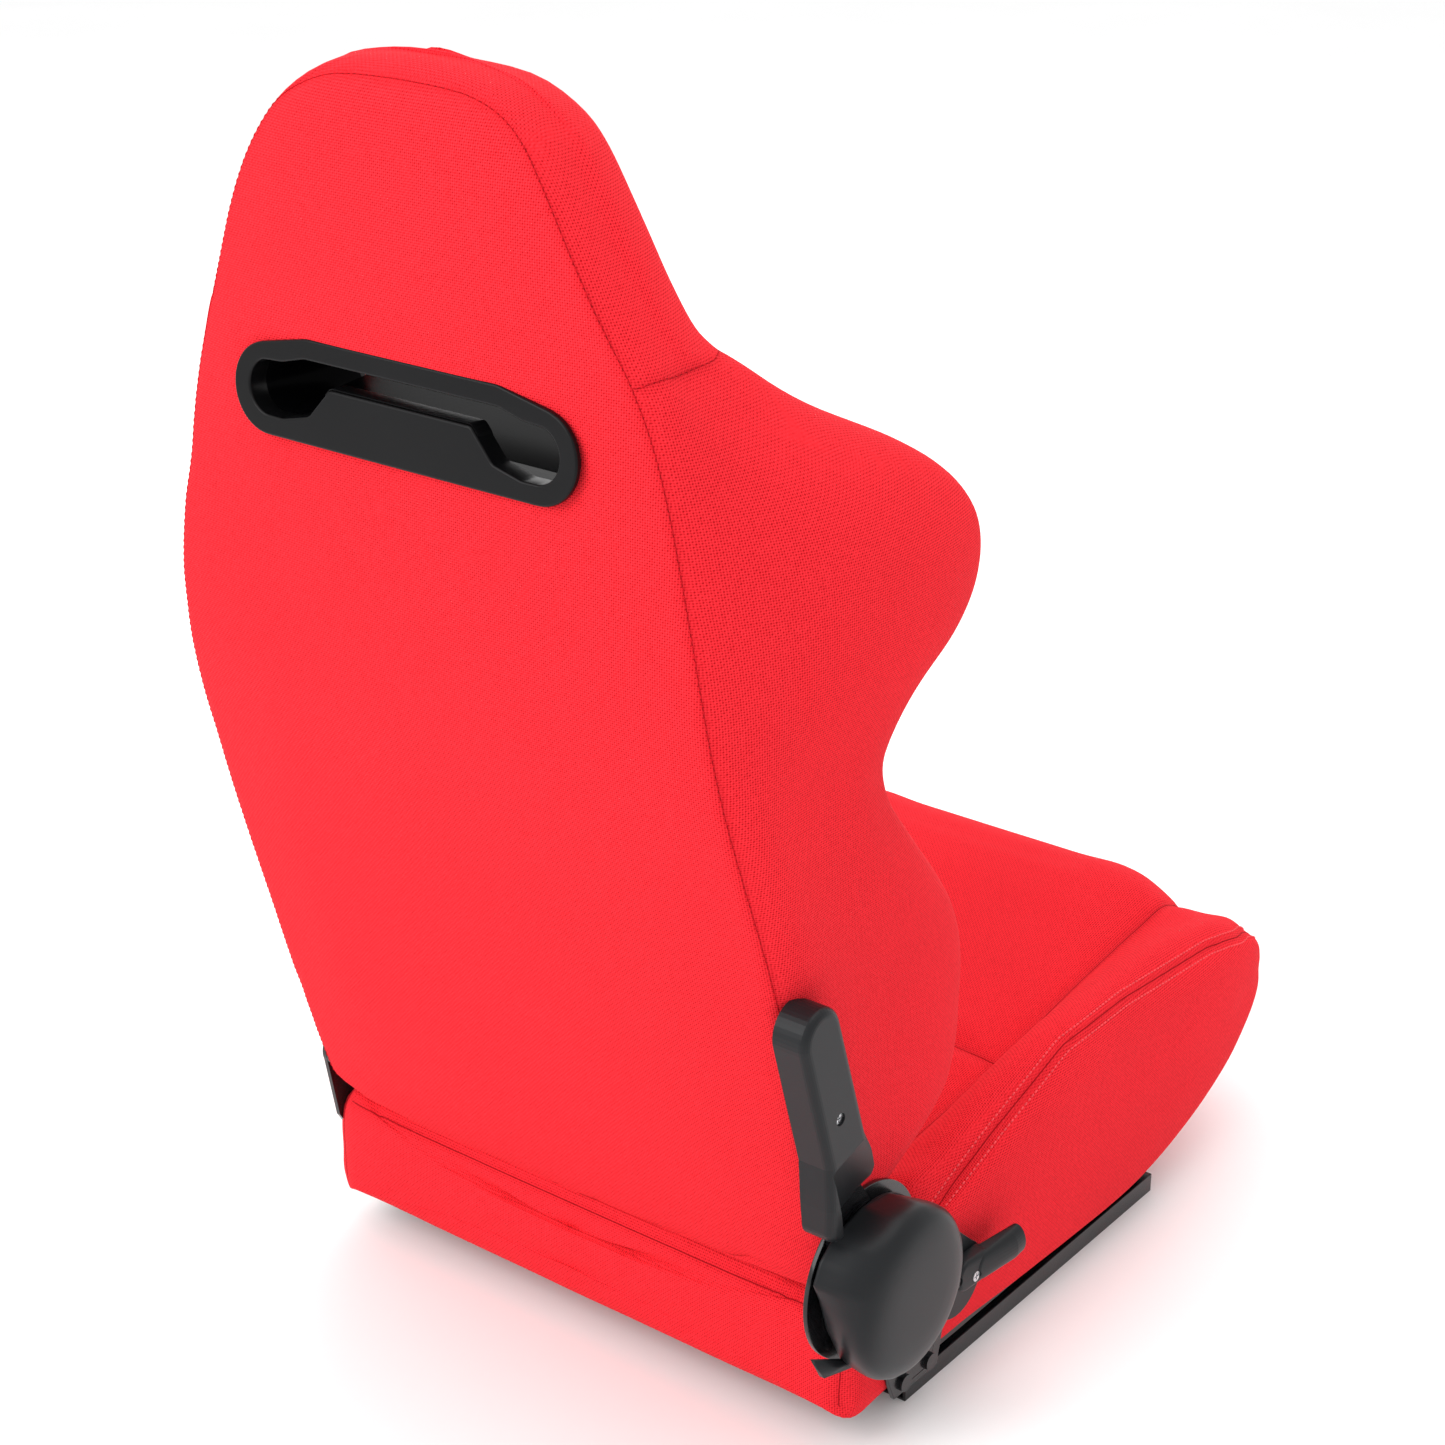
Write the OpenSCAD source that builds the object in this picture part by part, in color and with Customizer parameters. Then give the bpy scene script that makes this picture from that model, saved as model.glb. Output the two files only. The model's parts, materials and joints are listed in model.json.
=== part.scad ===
// Reclining sport seat on slide rails, with a belt slot through its backrest.
// X is across the seat (the release lever is at -X), -Y is forward and Z is up.
// The origin is on the floor, midway between the four floor bolts.

/* [Rails] */
// Distance of each rail's centre line from the seat's middle
rail_x = 223; // [215:1:228]
// Length of a rail
rail_l = 352; // [340:1:364]
// Width of the lower rail
rail_w = 34; // [32:1:36]
// Height of the lower rail
rail_h = 16; // [15:0.5:17]
// Wall thickness of the lower rail
rail_t = 2.2; // [1.8:0.1:2.6]
// Spacing of the floor bolts along a rail
bolt_span_y = 310; // [290:5:320]
// Radius of the floor bolt holes
bolt_hole_r = 4.5; // [3.5:0.5:5.5]

/* [Recliner] */
// Height of the recline hinge above the floor
hinge_z = 160; // [160:1:164]
// Distance of the recline hinge behind the rails' middle
hinge_y = 252; // [252:1:256]
// Radius of the hinge pin
hinge_r = 8; // [7:0.5:9]
// Radial clearance of every pin that turns
run_gap = 0.05; // [0.03:0.01:0.08]
// Lean of the recliner arms behind vertical, in degrees
arm_lean = 16; // [15:0.5:17]
// Number of teeth on the arm's toothed sector
sector_teeth = 13; // [9:1:15]
// Radius of the round recliner cover
dome_r = 65; // [60:1:66]
// How far the round cover stands out from its rim
dome_h = 40; // [34:1:42]

/* [Release] */
// Distance of the release lever's shaft behind the rails' middle
lever_y = 159; // [156:1:162]
// Height of the release lever's shaft
lever_z = 105; // [103:1:107]
// Radius of the release shaft
shaft_r = 5; // [4:0.5:5.5]

/* [Cushions] */
// Half the width of the cushion's centre pads
pad_w = 150; // [140:1:152]
// Thickness of the backrest's centre pad
pad_t = 92; // [85:1:96]
// Radius of the bolsters' front edge
bolster_r = 28; // [22:1:30]
// How far the middle of the backrest bulges behind its side seams
crown = 11; // [6:1:14]
// Radius of the backrest's rounded foot about its hinge
foot_r = 26; // [24:1:27]

/* [Belt slot] */
// Height of the belt slot's centre
slot_z = 751; // [749:1:753]
// Half the width of the slot opening
slot_w = 129; // [124:1:130]
// Half the height of the slot opening
slot_h = 20; // [18:1:21]
// Lean of the slot's bezels behind vertical, in degrees
slot_lean = 4; // [2:1:6]

/* [Hidden] */
$fn = 48;
eps = 0.01;

black = "#1d1e20";
steel = "#8b8f94";
plastic = "#3a3c3f";
red = "#e03040";

// Layers of the recliner on the lever's side, measured out from the seat's middle
plate_x = 249;
plate_t = 3.5;
arm_x = 253;
arm_t = 4;
inner_x = 257.6;
inner_t = 2;
dome_x = 260;
shell_t = 2.5;
grip_x = 262;

// Layers of the plain hinge on the other side
eye_arm_x = 238;
eye_bracket_x = 242;
eye_t = 3.5;
eye_r = 17;

// Layers of a rail and of the base frame
ball_r = 2.88;
flange_z = 8;
web_w = 10;
upper_top = 25;
member_w = 30;
member_h = 22;
member_t = 2;
member_y = [-185, 238];
member_x = rail_x - member_w / 2;
rail_bolt_y = [-140, 140];
plate_bolt_y = [166, 198];
plate_bolt_z = upper_top + member_h / 2;
cross_y = [-112, 150];
cross_r = 9;
cross_z = upper_top + member_h - cross_r;
spring_wire = 3.2;
pad_z = cross_z + cross_r + spring_wire + 0.8;

// Pawl: its pivot, and the middle of its toothed end
sector_r = 38;
tooth_h = 3;
tooth_gap = 0.5;
mesh_angle = 60;
mesh_r = sector_r + tooth_gap;
mesh = [hinge_y - mesh_r * sin(mesh_angle), hinge_z - mesh_r * cos(mesh_angle)];
pawl_at = mesh + [4.6, -32];
pawl_r = 4;

// Slide handle
handle_x = 190;
handle_z = 20.5;
handle_r = 5;
handle_pivot_y = -100;
handle_y = [-215, -60];
handle_pin_r = 2.5;

// Backrest outline: height, rear seam, front edge, half-width at the rear seam, half-width at the side
BACK = [
  [137, 262, 248, 236, 240], [143, 266, 239, 239, 243], [153, 268.5, 232, 241, 245],
    [166, 272, 229, 242, 246],
  [186, 278, 222, 243, 246], [201, 282, 205, 243, 246], [213, 286, 181, 243, 246], [228, 290, 152, 243, 246],
  [246, 296, 127, 243, 246], [270, 303, 116, 243, 246], [310, 314, 112, 243, 246], [345, 324, 112, 243, 246],
  [385, 335, 125, 243, 247], [420, 345, 150, 242, 249], [460, 357, 181, 239, 248], [500, 369, 208, 236, 247],
  [523, 375, 212, 234, 246], [548, 381, 200, 231, 248], [575, 385, 179, 228, 253], [600, 388, 153, 225, 259],
  [625, 389, 137, 221, 262], [652, 389, 132, 216, 263], [680, 388, 138, 209, 260], [705, 388, 156, 204, 250],
  [731, 388, 192, 198, 232], [752, 388, 232, 192, 213], [771, 388, 262, 186, 197], [789, 389, 285, 179, 185]];

// Head outline: height, rear seam, front edge, half-width
HEAD = [
  [789.5, 389, 296, 176], [812, 392, 306, 167], [840, 397, 312, 152], [870, 399, 316, 138],
    [898, 399, 318, 123],
  [918, 397, 318, 110], [936, 393, 320, 95], [948, 387, 325, 80], [957, 380, 333, 62], [962, 370, 350, 36]];

// Thigh bolster outline: distance along Y, underside, crest, half-width
THIGH = [
  [-347, 128, 148, 226], [-342, 117, 164, 237], [-326, 99, 180, 246], [-292, 76, 195, 252],
    [-240, 53, 206, 255],
  [-190, 39, 211, 255], [-140, 32, 212, 255], [-30, 32, 208, 254], [50, 32, 190, 251], [110, 32, 168, 248],
  [156, 32, 150, 247.5], [156.2, 32, 108, 247.5], [239.8, 32, 108, 247.5], [240, 32, 127, 247.5],
  [250, 34, 127, 244], [258, 40, 125, 236], [262, 48, 120, 226]];

// Top of the cushion's centre pad: distance along Y, height
PAD_TOP = [[-338, 140], [-332, 174], [-318, 194], [-295, 205], [-250, 203], [-180, 189], [-90, 174],
  [-30, 164], [60, 154], [156, 147]];

function pad_top(y) = lookup(y, PAD_TOP);
function rear_y(z) = lookup(z, [for (r = concat(BACK, HEAD)) [r[0], r[1]]]) + crown;

// Point d up the recliner arm's centre line, and off behind it
function along_arm(d, off = 0) = [hinge_y + 15 + d * sin(arm_lean) + off * cos(arm_lean),
  hinge_z + 2 + d * cos(arm_lean) - off * sin(arm_lean)];

// ---------- Helpers ----------

// Copy of the children on the left (s = 1) or the right (s = -1)
module on_side(s) { mirror([s < 0 ? 1 : 0, 0, 0]) children(); }

// Both copies
module on_both() { for (s = [1, -1]) on_side(s) children(); }

// Plate standing across X, whose outline is drawn in Y and Z
module side_plate_at(x, t) { translate([x, 0, 0]) rotate([90, 0, 90]) linear_extrude(t) children(); }

// Rod along X
module rod(x0, x1, y, z, r) { translate([x0, y, z]) rotate([0, 90, 0]) cylinder(r = r, h = x1 - x0); }

// Disc of an outline drawn in Y and Z
module spot(y, z, r) { translate([y, z]) circle(r = r); }

// Tube from one point to the next along a path, with a weld bead at each bend
module tube_path(points, r) {
  for (i = [0 : len(points) - 2]) {
    d = points[i + 1] - points[i];
    translate(points[i]) rotate([0, acos(d[2] / norm(d)), atan2(d[1], d[0])]) cylinder(r = r, h = norm(d));
    if (i > 0) translate(points[i]) sphere(r = r * 1.04);
  }
}

// Closed skin over a stack of rings that all have the same number of points
module skin(rings) {
  n = len(rings[0]);
  last = len(rings) - 1;
  sides = [for (i = [0 : last - 1]) for (j = [0 : n - 1]) let (k = (j + 1) % n)
    each [[i * n + j, (i + 1) * n + j, (i + 1) * n + k], [i * n + j, (i + 1) * n + k, i * n + k]]];
  ends = [[for (j = [0 : n - 1]) j], [for (j = [n - 1 : -1 : 0]) last * n + j]];
  polyhedron([for (r = rings) each r], concat(sides, ends));
}

// Sinuous wire spring along +X, in the XY plane, centred on y = 0
module sinuous(length, pitch, wide, wire) {
  turns = floor(length / pitch);
  linear_extrude(wire) for (i = [0 : turns - 1]) {
    translate([i * pitch, i % 2 == 0 ? -wide / 2 : wide / 2 - wire]) square([pitch + wire, wire]);
    translate([i * pitch, -wide / 2]) square([wire, wide]);
    if (i == turns - 1) translate([turns * pitch, -wide / 2]) square([wire, wide]);
  }
}

// Pebble-edged disc that faces +X, with its back at x
module pebble(x, y, z, r, t, edge) {
  translate([x, y, z]) rotate([0, 90, 0]) rotate_extrude($fn = 40) {
    square([r - edge, t]);
    square([r, t - edge]);
    translate([r - edge, t - edge]) intersection() {
      circle(r = edge, $fn = 24);
      square(edge);
    }
  }
}

// ---------- Rails ----------

module lower_rail() {
  color(black) difference() {
    translate([rail_x - rail_w / 2, -rail_l / 2, 0]) cube([rail_w, rail_l, rail_h]);
    translate([rail_x - rail_w / 2 + rail_t, -rail_l / 2 - 1, rail_t])
      cube([rail_w - 2 * rail_t, rail_l + 2, rail_h - 2 * rail_t]);
    translate([rail_x - web_w / 2 - 3, -rail_l / 2 - 1, rail_h - rail_t - 1])
      cube([web_w + 6, rail_l + 2, rail_t + 2]);
    for (y = [-1, 1]) translate([rail_x, y * bolt_span_y / 2, -1]) cylinder(r = bolt_hole_r, h = rail_t + 2);
    for (i = [0 : 12]) translate([rail_x - rail_w / 2 - 1, -156 + i * 14, 6]) cube([rail_t + 2, 6, 6]);
  }
}

module upper_rail() {
  flange_w = rail_w - 2 * rail_t - 2.6;
  color(black) translate([rail_x, 0, 0]) difference() {
    union() {
      translate([-flange_w / 2, -rail_l / 2, flange_z]) cube([flange_w, rail_l, 2.5]);
      translate([-web_w / 2, -rail_l / 2, flange_z]) cube([web_w, rail_l, upper_top - flange_z]);
      translate([-member_w / 2, -rail_l / 2, upper_top - 3]) cube([member_w, rail_l, 3]);
    }
    for (y = rail_bolt_y) translate([0, y, upper_top - 12]) cylinder(r = 4, h = 13);
    translate([-web_w, handle_pivot_y, handle_z]) rotate([0, 90, 0]) cylinder(r = handle_pin_r, h = web_w);
  }
}

// Balls under the upper rail's flange, two tracks on each side
module ball_places() {
  for (x = [-8, 8], y = [-120, 0, 120]) translate([rail_x + x, y, rail_t + ball_r]) children();
}

module rail_balls() { color(steel) on_both() ball_places() sphere(r = ball_r); }

module ball_cage() {
  color(plastic) difference() {
    translate([rail_x - 12, -130, rail_t + 2.2]) cube([24, 260, 1.2]);
    ball_places() translate([0, 0, -5]) cylinder(r = ball_r + 0.2, h = 10);
  }
}

// ---------- Base frame ----------

module base_member() {
  length = member_y[1] - member_y[0];
  color(black) difference() {
    translate([member_x, member_y[0], upper_top]) cube([member_w, length, member_h]);
    translate([member_x + member_t, member_y[0] - 1, upper_top + member_t])
      cube([member_w - 2 * member_t, length + 2, member_h - 2 * member_t]);
    for (y = rail_bolt_y) translate([rail_x, y, upper_top - 1]) cylinder(r = 4, h = member_t + 2);
    for (y = plate_bolt_y) rod(rail_x, rail_x + member_w, y, plate_bolt_z, 4);
  }
}

module cross_tube(y) {
  color(black) difference() {
    rod(-member_x, member_x, y, cross_z, cross_r);
    rod(-member_x - 1, member_x + 1, y, cross_z, cross_r - member_t);
  }
}

// Bolts that hold the base members to the upper rails
module rail_bolts() {
  color(steel) on_both() for (y = rail_bolt_y) translate([rail_x, y, 0]) {
    translate([0, 0, upper_top - 12]) cylinder(r = 4, h = 12 + member_t);
    translate([0, 0, upper_top + member_t]) cylinder(r = 7, h = 5, $fn = 6);
  }
}

// Springs that carry the cushion, front to rear
module seat_springs() {
  color(steel) for (x = [-120, -40, 40, 120])
    translate([x, cross_y[0], cross_z + cross_r]) rotate([0, 0, 90])
      sinuous(cross_y[1] - cross_y[0], 15, 50, spring_wire);
}

// ---------- Cushion ----------

// Half cross-section of the cushion beside its centre pad at one row of THIGH: it stands on the base
// members, hangs down outside them, and closes off behind them
wall_y = [240, 262];
shelf_z = 108;
wall_z = 127;
function thigh_ring(r) = let (
    y = r[0], zb = r[1], zt = r[2], w = r[3], h = zt - zb, top = h / 180, in_x = pad_w + 0.3,
    zu = y < wall_y[0] ? max(zb + 2, pad_z) : zb + 0.5, ledge_x = min(member_x + member_w + 1, w - 8),
    zp = min(pad_top(y), zt - 4))
  [[in_x, y, zu], [ledge_x, y, zu], [ledge_x + 0.2, y, zb], [w - 3, y, zb], [w, y, zb + 0.4 * h],
   [w, y, zt - 70 * top], [w - 5, y, zt - 26 * top], [w - 14, y, zt - 9 * top], [w - 28, y, zt],
     [w - 42, y, zt - 1],
   [w - 56, y, zt - 0.3 * (zt - zp)], [pad_w + 14, y, zp + 0.25 * (zt - zp)], [in_x, y, zp]];

module thigh_bolster() {
  color(red) difference() {
    skin([for (r = THIGH) thigh_ring(r)]);
    for (y = plate_bolt_y) rod(235, 260, y, plate_bolt_z, 8);
    rod(pad_w - 1, 270, hinge_y, hinge_z, foot_r + 10);
  }
}

// Thigh bolster on the plain hinge's side, slotted for its bracket
module slotted_thigh_bolster() {
  difference() {
    thigh_bolster();
    side_plate_at(eye_bracket_x - 1, eye_t + 1.6) offset(delta = 1.5) bracket_outline();
  }
}

module seat_pad() {
  front = [[-322, 100], [-250, pad_z]];
  rear = [[wall_y[0] - 8, pad_z], [wall_y[0] - 8, shelf_z], [156, shelf_z]];
  color(red) {
    side_plate_at(-pad_w, 2 * pad_w)
      polygon(concat(front, rear, [for (i = [len(PAD_TOP) - 1 : -1 : 0]) PAD_TOP[i]]));
    difference() {
      side_plate_at(-pad_w, 2 * pad_w) polygon([[wall_y[0] - 9, pad_z], [wall_y[0], pad_z], [wall_y[0], 32],
        [wall_y[1] - 9, 32], [wall_y[1], 44], [wall_y[1], wall_z], [wall_y[0] - 9, wall_z]]);
      rod(-pad_w - 1, pad_w + 1, hinge_y, hinge_z, foot_r + 10);
    }
  }
}

// ---------- Recliner, fixed to the base ----------

plate_r = 64;
module recliner_plate() {
  color(black) on_side(-1) side_plate_at(plate_x, plate_t) difference() {
    union() {
      spot(hinge_y, hinge_z, plate_r);
      spot(lever_y, lever_z, 22);
      polygon([[lever_y - 20, lever_z - 8], [plate_bolt_y[0] - 11, 27], [plate_bolt_y[1] + 11, 27],
        [hinge_y - 12, hinge_z - 58], [hinge_y + 25, hinge_z - 56],
        [hinge_y + 30, hinge_z - 40], [hinge_y - 40, hinge_z + 47], [lever_y - 4, lever_z + 21.5]]);
    }
    spot(lever_y, lever_z, shaft_r + run_gap);
    spot(hinge_y, hinge_z, hinge_r);
    translate(pawl_at) circle(r = pawl_r);
    for (y = plate_bolt_y) spot(y, plate_bolt_z, 4);
  }
}

// Plain bracket on the side without the lever
module bracket_outline() {
  spot(hinge_y, hinge_z, eye_r);
  polygon([[plate_bolt_y[0] - 14, upper_top + 1], [plate_bolt_y[1] + 14, upper_top + 1],
    [hinge_y + 6, hinge_z - 60], [hinge_y + eye_r, hinge_z], [hinge_y - eye_r, hinge_z],
    [plate_bolt_y[0] + 12, 62], [plate_bolt_y[0] - 14, 50]]);
}

module hinge_bracket() {
  color(black) side_plate_at(eye_bracket_x, eye_t) difference() {
    bracket_outline();
    spot(hinge_y, hinge_z, hinge_r);
    for (y = plate_bolt_y) spot(y, plate_bolt_z, 4);
  }
}

// Bolts and spacers between the base members and the hinge plates, and a rivet at the recliner plate's rear
module plate_bolts() {
  side = member_x + member_w;
  color(steel) {
    for (s = [[-1, plate_x, plate_t], [1, eye_bracket_x, eye_t]]) on_side(s[0]) for (y = plate_bolt_y) {
      rod(side - 8, s[1] + s[2], y, plate_bolt_z, 4);
      rod(side, s[1], y, plate_bolt_z, 7);
      rod(s[1] + s[2], s[1] + s[2] + 3, y, plate_bolt_z, 6.5);
    }
    on_side(-1) rod(plate_x + plate_t, plate_x + plate_t + 1.6, hinge_y + 38, hinge_z - 41, 3);
  }
}

module hinge_pins() {
  color(steel) {
    on_side(-1) {
      rod(plate_x - 1.5, plate_x, hinge_y, hinge_z, hinge_r + 4);
      rod(plate_x, inner_x + 6, hinge_y, hinge_z, hinge_r);
      rod(inner_x + 6, inner_x + 8, hinge_y, hinge_z, hinge_r + 3);
    }
    rod(eye_arm_x - 0.2, eye_bracket_x + eye_t, hinge_y, hinge_z, hinge_r);
    rod(eye_arm_x - 1.7, eye_arm_x - 0.2, hinge_y, hinge_z, hinge_r + 3);
  }
}

// Spiral spring that tips the released backrest forward
module return_spring() {
  wire = 1.6;
  color(steel) on_side(-1) side_plate_at(inner_x, 5) translate([hinge_y, hinge_z]) {
    for (i = [0 : 3]) difference() {
      circle(r = hinge_r + 4 + i * 5 + wire);
      circle(r = hinge_r + 4 + i * 5);
    }
    translate([hinge_r, -wire / 2]) square([22, wire]);
  }
}

// Flat back of the recliner's housing, cut away at its rear
inner_r = dome_r - 8;
lobe = [lever_y - 18, lever_z - 11];
module inner_cover() {
  color(plastic) on_side(-1) side_plate_at(inner_x, inner_t) difference() {
    union() {
      spot(hinge_y, hinge_z, inner_r);
      translate(lobe) circle(r = 30);
      polygon([lobe + [4, -29.7], [hinge_y, hinge_z - inner_r + 0.5], [hinge_y - 36, hinge_z + 44],
        lobe + [-22, 20]]);
    }
    spot(hinge_y, hinge_z, 33);
    spot(lever_y, lever_z, shaft_r + 0.6);
    polygon([[hinge_y + 26, hinge_z + 20], [hinge_y + 40, hinge_z - 20], [hinge_y + 24, hinge_z - 70],
      [hinge_y + 90, hinge_z - 70], [hinge_y + 90, hinge_z + 40]]);
  }
}

// Half section of the round cover, radius along X and height along Y
module dome_section(grow) {
  edge = 11;
  translate([0, -eps]) square([dome_r - edge + grow, dome_h + grow]);
  square([dome_r + grow, dome_h - edge]);
  translate([dome_r - edge, dome_h - edge]) intersection() {
    circle(r = edge + grow, $fn = 64);
    square(edge + 5);
  }
}

// Solid of the round cover, made smaller all round by inset: a drum that spreads to a wider rim at the rear
module round_cover_body(inset) {
  hull() {
    side_plate_at(dome_x, 6) offset(delta = -inset) translate([hinge_y, hinge_z])
      polygon([[-58, 0], [-54, -30], [-36, -54], [-4, -66], [20, -62], [35, -50], [52, -16], [61, 12],
        [68, 27], [61, 42], [46, 53], [13, 60], [-16, 56], [-44, 38]]);
    translate([dome_x, hinge_y, hinge_z - 3]) rotate([0, 90, 0])
      rotate_extrude($fn = 64) dome_section(-inset);
  }
}

module round_cover() {
  color(plastic) on_side(-1) {
    difference() {
      round_cover_body(0);
      translate([-1, 0, 0]) round_cover_body(shell_t);
      side_plate_at(dome_x - 1, 13) spot(lever_y, lever_z, 31);
    }
    side_plate_at(dome_x, 4) translate([hinge_y, hinge_z])
      polygon([[17, -61], [20, -62], [59, -50], [70, -30], [34, -50], [30, -50]]);
  }
}

// ---------- Slide handle ----------

module slide_handle() {
  bend = 10;
  half = [[0, handle_y[0], handle_z], [handle_x - bend, handle_y[0], handle_z],
    [handle_x, handle_y[0] + bend, handle_z], [handle_x, handle_y[1], handle_z]];
  color(black) difference() {
    union() {
      on_both() tube_path(half, handle_r);
      on_both() rod(handle_x - 6, handle_x + 6, handle_pivot_y, handle_z, 7);
    }
    on_both() rod(handle_x - 8, handle_x + 8, handle_pivot_y, handle_z, handle_pin_r + run_gap);
  }
}

module handle_pins() {
  color(steel) on_both() {
    rod(handle_x - 7, rail_x - web_w / 2, handle_pivot_y, handle_z, handle_pin_r);
    rod(handle_x - 9, handle_x - 7, handle_pivot_y, handle_z, 5);
  }
}

// Close-wound coil round each handle pin that lowers the handle again
module handle_springs() {
  color(steel) on_both() translate([handle_x + 7.8, handle_pivot_y, handle_z]) rotate([0, 90, 0])
    rotate_extrude() for (i = [0 : 4]) translate([4, i * 1.4]) circle(r = 0.75, $fn = 16);
}

// Toothed plates at the handle's rear ends that lock the upper rails
module latch_plates() {
  face_x = rail_x - rail_w / 2 - 0.5;
  color(steel) on_both() {
    translate([handle_x - 1.5, handle_y[1], 8]) cube([face_x - handle_x + 1.5, 3, 16]);
    for (i = [0 : 2]) translate([face_x - 3, handle_y[1] - 0.2, 7 + i * 5]) cube([3, 9, 3.4]);
  }
}

// ---------- Release lever ----------

// Stub shaft that the lever and the cam turn with
module release_pin() { color(steel) on_side(-1) rod(plate_x - 0.6, grip_x + 8, lever_y, lever_z, shaft_r); }

module release_cam() {
  color(steel) on_side(-1) side_plate_at(arm_x, arm_t) difference() {
    union() {
      spot(lever_y, lever_z, 10);
      polygon([[lever_y, lever_z - 6], [lever_y + 15, lever_z + 3], [lever_y + 15, lever_z + 8],
        [lever_y, lever_z + 10]]);
    }
    spot(lever_y, lever_z, shaft_r);
  }
}

screw_y = lever_y - 21;
screw_z = lever_z - 4;
screw_seat = grip_x + 8;
arm_plate_x = grip_x - 1.5;
module lever_arm() {
  color(steel) on_side(-1) side_plate_at(arm_plate_x, 3) difference() {
    union() {
      spot(lever_y, lever_z, 11);
      polygon([[lever_y, lever_z + 11], [lever_y - 45, lever_z + 5], [lever_y - 45, lever_z - 5],
        [lever_y, lever_z - 11]]);
    }
    spot(lever_y, lever_z, shaft_r);
    spot(screw_y, screw_z, 2);
  }
}

// Plastic grip: a flat boss round the screw that fans out into a rounded paddle
module lever_grip() {
  tip = [lever_y - 64, lever_z];
  color(plastic) on_side(-1) difference() {
    union() {
      hull() {
        pebble(arm_plate_x, lever_y - 14, lever_z - 1, 12, 10.5, 3);
        pebble(arm_plate_x, lever_y - 34, lever_z - 1, 11.5, 12.5, 4);
      }
      hull() {
        pebble(grip_x, lever_y - 33, lever_z - 1, 11, 12, 4);
        translate([grip_x + 11, tip[0], tip[1]]) rotate([84, 0, 0]) scale([0.58, 1, 1])
          cylinder(r = 12.5, h = 10, $fn = 32);
      }
    }
    side_plate_at(grip_x - 2, 3.7) polygon([[lever_y + 9, lever_z - 13], [lever_y + 9, lever_z + 12],
      [lever_y - 46, lever_z + 6], [lever_y - 46, lever_z - 6]]);
    rod(grip_x, grip_x + 20, screw_y, screw_z, 2.6);
    rod(screw_seat, grip_x + 20, screw_y, screw_z, 4.4);
    rod(grip_x - 5, grip_x + 20, lever_y, lever_z, shaft_r + 0.2);
  }
}

// Cross-slotted pan head that faces +X
module screw_head(x, y, z, r, t) {
  difference() {
    rod(x, x + t, y, z, r);
    translate([x + t - 1, y - 0.7 * r, z - 0.5]) cube([2, 1.4 * r, 1]);
    translate([x + t - 1, y - 0.5, z - 0.7 * r]) cube([2, 1, 1.4 * r]);
  }
}

module lever_screw() {
  color(steel) on_side(-1) {
    rod(arm_plate_x, screw_seat, screw_y, screw_z, 2);
    screw_head(screw_seat, screw_y, screw_z, 4, 2.5);
  }
}

module pawl() {
  u = [-sin(mesh_angle), -cos(mesh_angle)];
  v = [-cos(mesh_angle), sin(mesh_angle)];
  color(steel) on_side(-1) side_plate_at(arm_x, arm_t) difference() {
    union() {
      translate(pawl_at) circle(r = 9);
      polygon([pawl_at + [-8, 4], pawl_at + [7, 4], mesh - 8 * v + 2.6 * u, mesh + 9 * v + 3.6 * u,
        mesh + 7 * v + 11 * u]);
      for (i = [-1 : 1]) translate(mesh + i * 5.4 * v) rotate(90 - mesh_angle)
        polygon([[-4, -1.9], [0, -0.8], [0, 0.8], [-4, 1.9]]);
      polygon([pawl_at + [0, -8], pawl_at + [0, 6], [lever_y + 13, lever_z + 1],
        [lever_y + 13, lever_z - 4]]);
    }
    translate(pawl_at) circle(r = pawl_r + run_gap);
  }
}

module pawl_pin() {
  color(steel) on_side(-1) {
    rod(plate_x, inner_x - 0.4, pawl_at[0], pawl_at[1], pawl_r);
    rod(plate_x - 0.9, plate_x, pawl_at[0], pawl_at[1], 7);
  }
}

// ---------- Recliner, fixed to the backrest ----------

arm_bolts_at = [along_arm(118, -8), along_arm(196, -8)];
arm_bolt_r = 4;
module recliner_arm_outline() {
  polygon([[hinge_y + 34, hinge_z + 4], along_arm(90, 15), along_arm(218, 13), along_arm(218, -17),
    along_arm(90, -17), [hinge_y - 32, hinge_z + 12]]);
  translate(along_arm(218, -2)) circle(r = 15);
}

module recliner_arm() {
  step = 8;
  color(black) on_side(-1) side_plate_at(arm_x, arm_t) difference() {
    union() {
      spot(hinge_y, hinge_z, sector_r - tooth_h);
      for (i = [0 : sector_teeth - 1]) translate([hinge_y, hinge_z])
        rotate(270 - mesh_angle + (i - sector_teeth / 2 + 0.5) * step)
          polygon([[30, -2.2], [sector_r, -1.1], [sector_r, 1.1], [30, 2.2]]);
      recliner_arm_outline();
    }
    spot(hinge_y, hinge_z, hinge_r + run_gap);
    for (p = arm_bolts_at) translate(p) circle(r = arm_bolt_r);
    translate(along_arm(158)) circle(r = 2);
  }
}

// Plain arm on the side without the lever
module hinge_arm_outline() {
  polygon([[hinge_y + 15, hinge_z + 4], along_arm(70, 0), along_arm(215, 0), along_arm(215, -22),
    along_arm(70, -22), [hinge_y - 15, hinge_z + 4]]);
  translate(along_arm(215, -11)) circle(r = 11);
}

module hinge_arm() {
  color(black) side_plate_at(eye_arm_x, eye_t) difference() {
    union() {
      spot(hinge_y, hinge_z, eye_r);
      hinge_arm_outline();
    }
    spot(hinge_y, hinge_z, hinge_r + run_gap);
    for (p = arm_bolts_at) translate(p) circle(r = arm_bolt_r);
  }
}

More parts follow.
